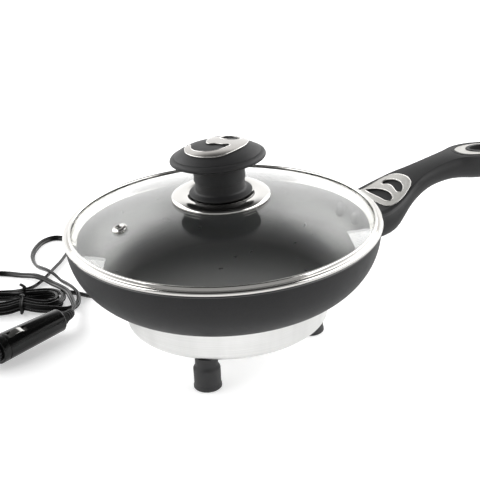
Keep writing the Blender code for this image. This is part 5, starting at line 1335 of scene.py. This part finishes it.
def buildTrims(trim, end, facts):
    outlines = [smoothOutline(trim[key]) for key in ("outline", "leafA", "leafB")]
    plate = followGrip("rootTrim", outlines, facts, trim["proud"], trim["proud"] - trim["thick"])
    settle(plate, panAxis)
    smooth(plate, 30)
    dress(plate, satinTrim, "pan", "satin_trim", "handle_root_trim")
    rims = rimsOn("rim", outlines, facts, trim["proud"] - trim["rim"] * 0.4, trim["rim"])
    rim = joined("rootTrimRims", *rims)
    settle(rim, panAxis)
    dress(rim, chrome, "pan", "polished_steel")
    flat = [oval(end["middle"], end["halfLength"], end["halfWidth"], end["power"]),
            oval(end["middle"], end["ring"][0] + 0.0003, end["ring"][1] + 0.0003)]
    badge = followGrip("endTrim", flat, facts, -end["sink"], -end["sink"] - end["thick"])
    settle(badge, panAxis)
    smooth(badge, 30)
    dress(badge, satinTrim, "pan", "satin_trim", "handle_end_trim")
    return plate, rim, badge


grip = buildGrip(gripFacts, trimFacts, endFacts, panFacts, screwFacts)
trims = buildTrims(trimFacts, endFacts, gripFacts)
print("handle modelled")


# ---- what stays as in the CAD, dressed

micaSheet = Finish("micaSheet")
micaSheet.set(Base_Color=micaSheet.blend(micaSheet.noise(180, 5, 0.7), (0.40, 0.32, 0.18),
                                         (0.66, 0.58, 0.40)),
              Roughness=micaSheet.noise(90, 3) * 0.3 + 0.25)
fibreBoard = Finish("fibreBoard")
fibreBoard.set(Base_Color=fibreBoard.blend(fibreBoard.noise(700, 5, 0.8), (0.42, 0.40, 0.36),
                                           (0.66, 0.64, 0.58)),
               Roughness=fibreBoard.noise(300, 3) * 0.2 + 0.7)
fibreBoard.bump(fibreBoard.noise(900, 4), 0.5, 0.0004)
ceramic = Finish("ceramic")
ceramic.set(Base_Color=ceramic.blend(ceramic.noise(400, 3), (0.74, 0.72, 0.68), (0.84, 0.83, 0.80)),
            Roughness=ceramic.noise(260, 3) * 0.2 + 0.3)

keptNodes = {
    zincSteel: ("handle_bracket", "handle_screw", "foot_screw_1", "foot_screw_2", "foot_screw_3",
                "stud_1", "stud_2", "stud_3", "centre_stud", "pressure_nut", "pressure_plate",
                "thermostat", "knob_screw", "plug_fuse", "plug_spring"),
    micaSheet: ("upper_mica", "lower_mica", "heating_element"),
    fibreBoard: ("insulation_disc",),
    ceramic: ("terminal_block", "thermal_fuse"),

    reliefRubber: ("supply_lead_1", "supply_lead_2", "element_lead", "knob_washer"),
}
for finish, names in keptNodes.items():
    for name in names:
        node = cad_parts[name]
        node.data.materials.clear()
        node.data.materials.append(finish.material)
print("kept parts dressed")


# ---- floor, light and sky

# Two tall soft boxes stand at the sides of the table: where they end, to the back and above,
# was read from their reflections in the lid
# The bright backdrop ends at about 38 degrees up, and the room in front of the table is dark
lightFacts = {"left": {"side": -1.2, "front": -0.8, "back": 1.78, "low": 0.45, "top": 1.82,
                       "radiance": 3.4},
              "right": {"side": 1.2, "front": -0.8, "back": 2.14, "low": 0.35, "top": 1.60,
                        "radiance": 3.4},
              "floorGlow": 0.44, "floorShade": 0.8, "skyStrength": 1.6, "frontShare": 0.3,
              "sky": ((0.0, 1.0), (0.5, 1.0), (0.574, 0.8), (0.629, 0.52), (0.682, 0.28), (0.731, 0.14),
                      (0.788, 0.08), (1.0, 0.06))}


def addLamp(name, spot):
    lamp = bpy.data.lights.new(name, "AREA")
    lamp.shape = "RECTANGLE"
    lamp.size, lamp.size_y = spot["back"] - spot["front"], spot["top"] - spot["low"]
    lamp.energy = spot["radiance"] * math.pi * lamp.size * lamp.size_y
    piece = bpy.data.objects.new(name, lamp)
    scene.collection.objects.link(piece)
    origin = Vector((spot["side"], (spot["front"] + spot["back"]) / 2, (spot["low"] + spot["top"]) / 2))
    piece.matrix_world = photoFrame @ facing(origin, (spot["side"], 0, 0), (0, 1, 0))
    piece.visible_camera = False


def addSky(facts):
    world = bpy.data.worlds.new("sky")
    scene.world = world
    world.use_nodes = True
    sky = Nodes(world.node_tree)
    where = sky.add("TexCoord", output="Generated")
    height = sky.add("SeparateXYZ", Vector=where, output="Z")
    turned = sky.add("Mapping", Vector=where, Rotation=(0, 0, math.radians(28.5)))
    behind = (sky.add("SeparateXYZ", Vector=turned, output="Y") * 1.1 + 0.5).clipped()
    strength = (behind * (1 - facts["frontShare"]) + facts["frontShare"]) * facts["skyStrength"]
    stops = [(place, (value, value, value)) for place, value in facts["sky"]]
    shade = sky.add("ValToRGB", {"stops": stops}, Fac=height)
    seen = sky.add("LightPath", output="Is Camera Ray")
    # Straight through the glass it is white too, but not for what the pan's inside reflects
    through = sky.add("LightPath", output="Is Transmission Ray")
    bounced = sky.add("LightPath", output="Diffuse Depth") + sky.add("LightPath", output="Glossy Depth")
    white = seen.maths("MAXIMUM", seen, through * (1 - bounced.clipped()))
    dim = sky.add("Background", Color=shade, Strength=strength)
    plain = sky.add("Background", Color=(1, 1, 1), Strength=1.0)
    mixed = world.node_tree.nodes.new("ShaderNodeMixShader")
    sky.feed(mixed.inputs[0], white)
    world.node_tree.links.new(dim.socket, mixed.inputs[1])
    world.node_tree.links.new(plain.socket, mixed.inputs[2])
    world.node_tree.links.new(mixed.outputs[0], world.node_tree.nodes["World Output"].inputs[0])


def addFloor(facts):
    # It ends before the lamps, where its white meets that of the sky
    bpy.ops.mesh.primitive_plane_add(size=2.3, location=(0, 0, 0))
    floor = bpy.context.object
    floor.name = "floor"
    settle(floor, photoFrame)
    paper = Finish("paper", Base_Color=(facts["floorShade"],) * 3, Roughness=1,
                   Specular_IOR_Level=0, Emission_Color=(1, 1, 1), Emission_Strength=facts["floorGlow"])
    floor.data.materials.append(paper.material)


for name in ("left", "right"):
    addLamp(name + "Lamp", lightFacts[name])
addSky(lightFacts)
addFloor(lightFacts)
scene.view_settings.view_transform = "Standard"
print("floor and light set")

tuple(cordRoute[2])
[tuple(p) for p in cordRoute]
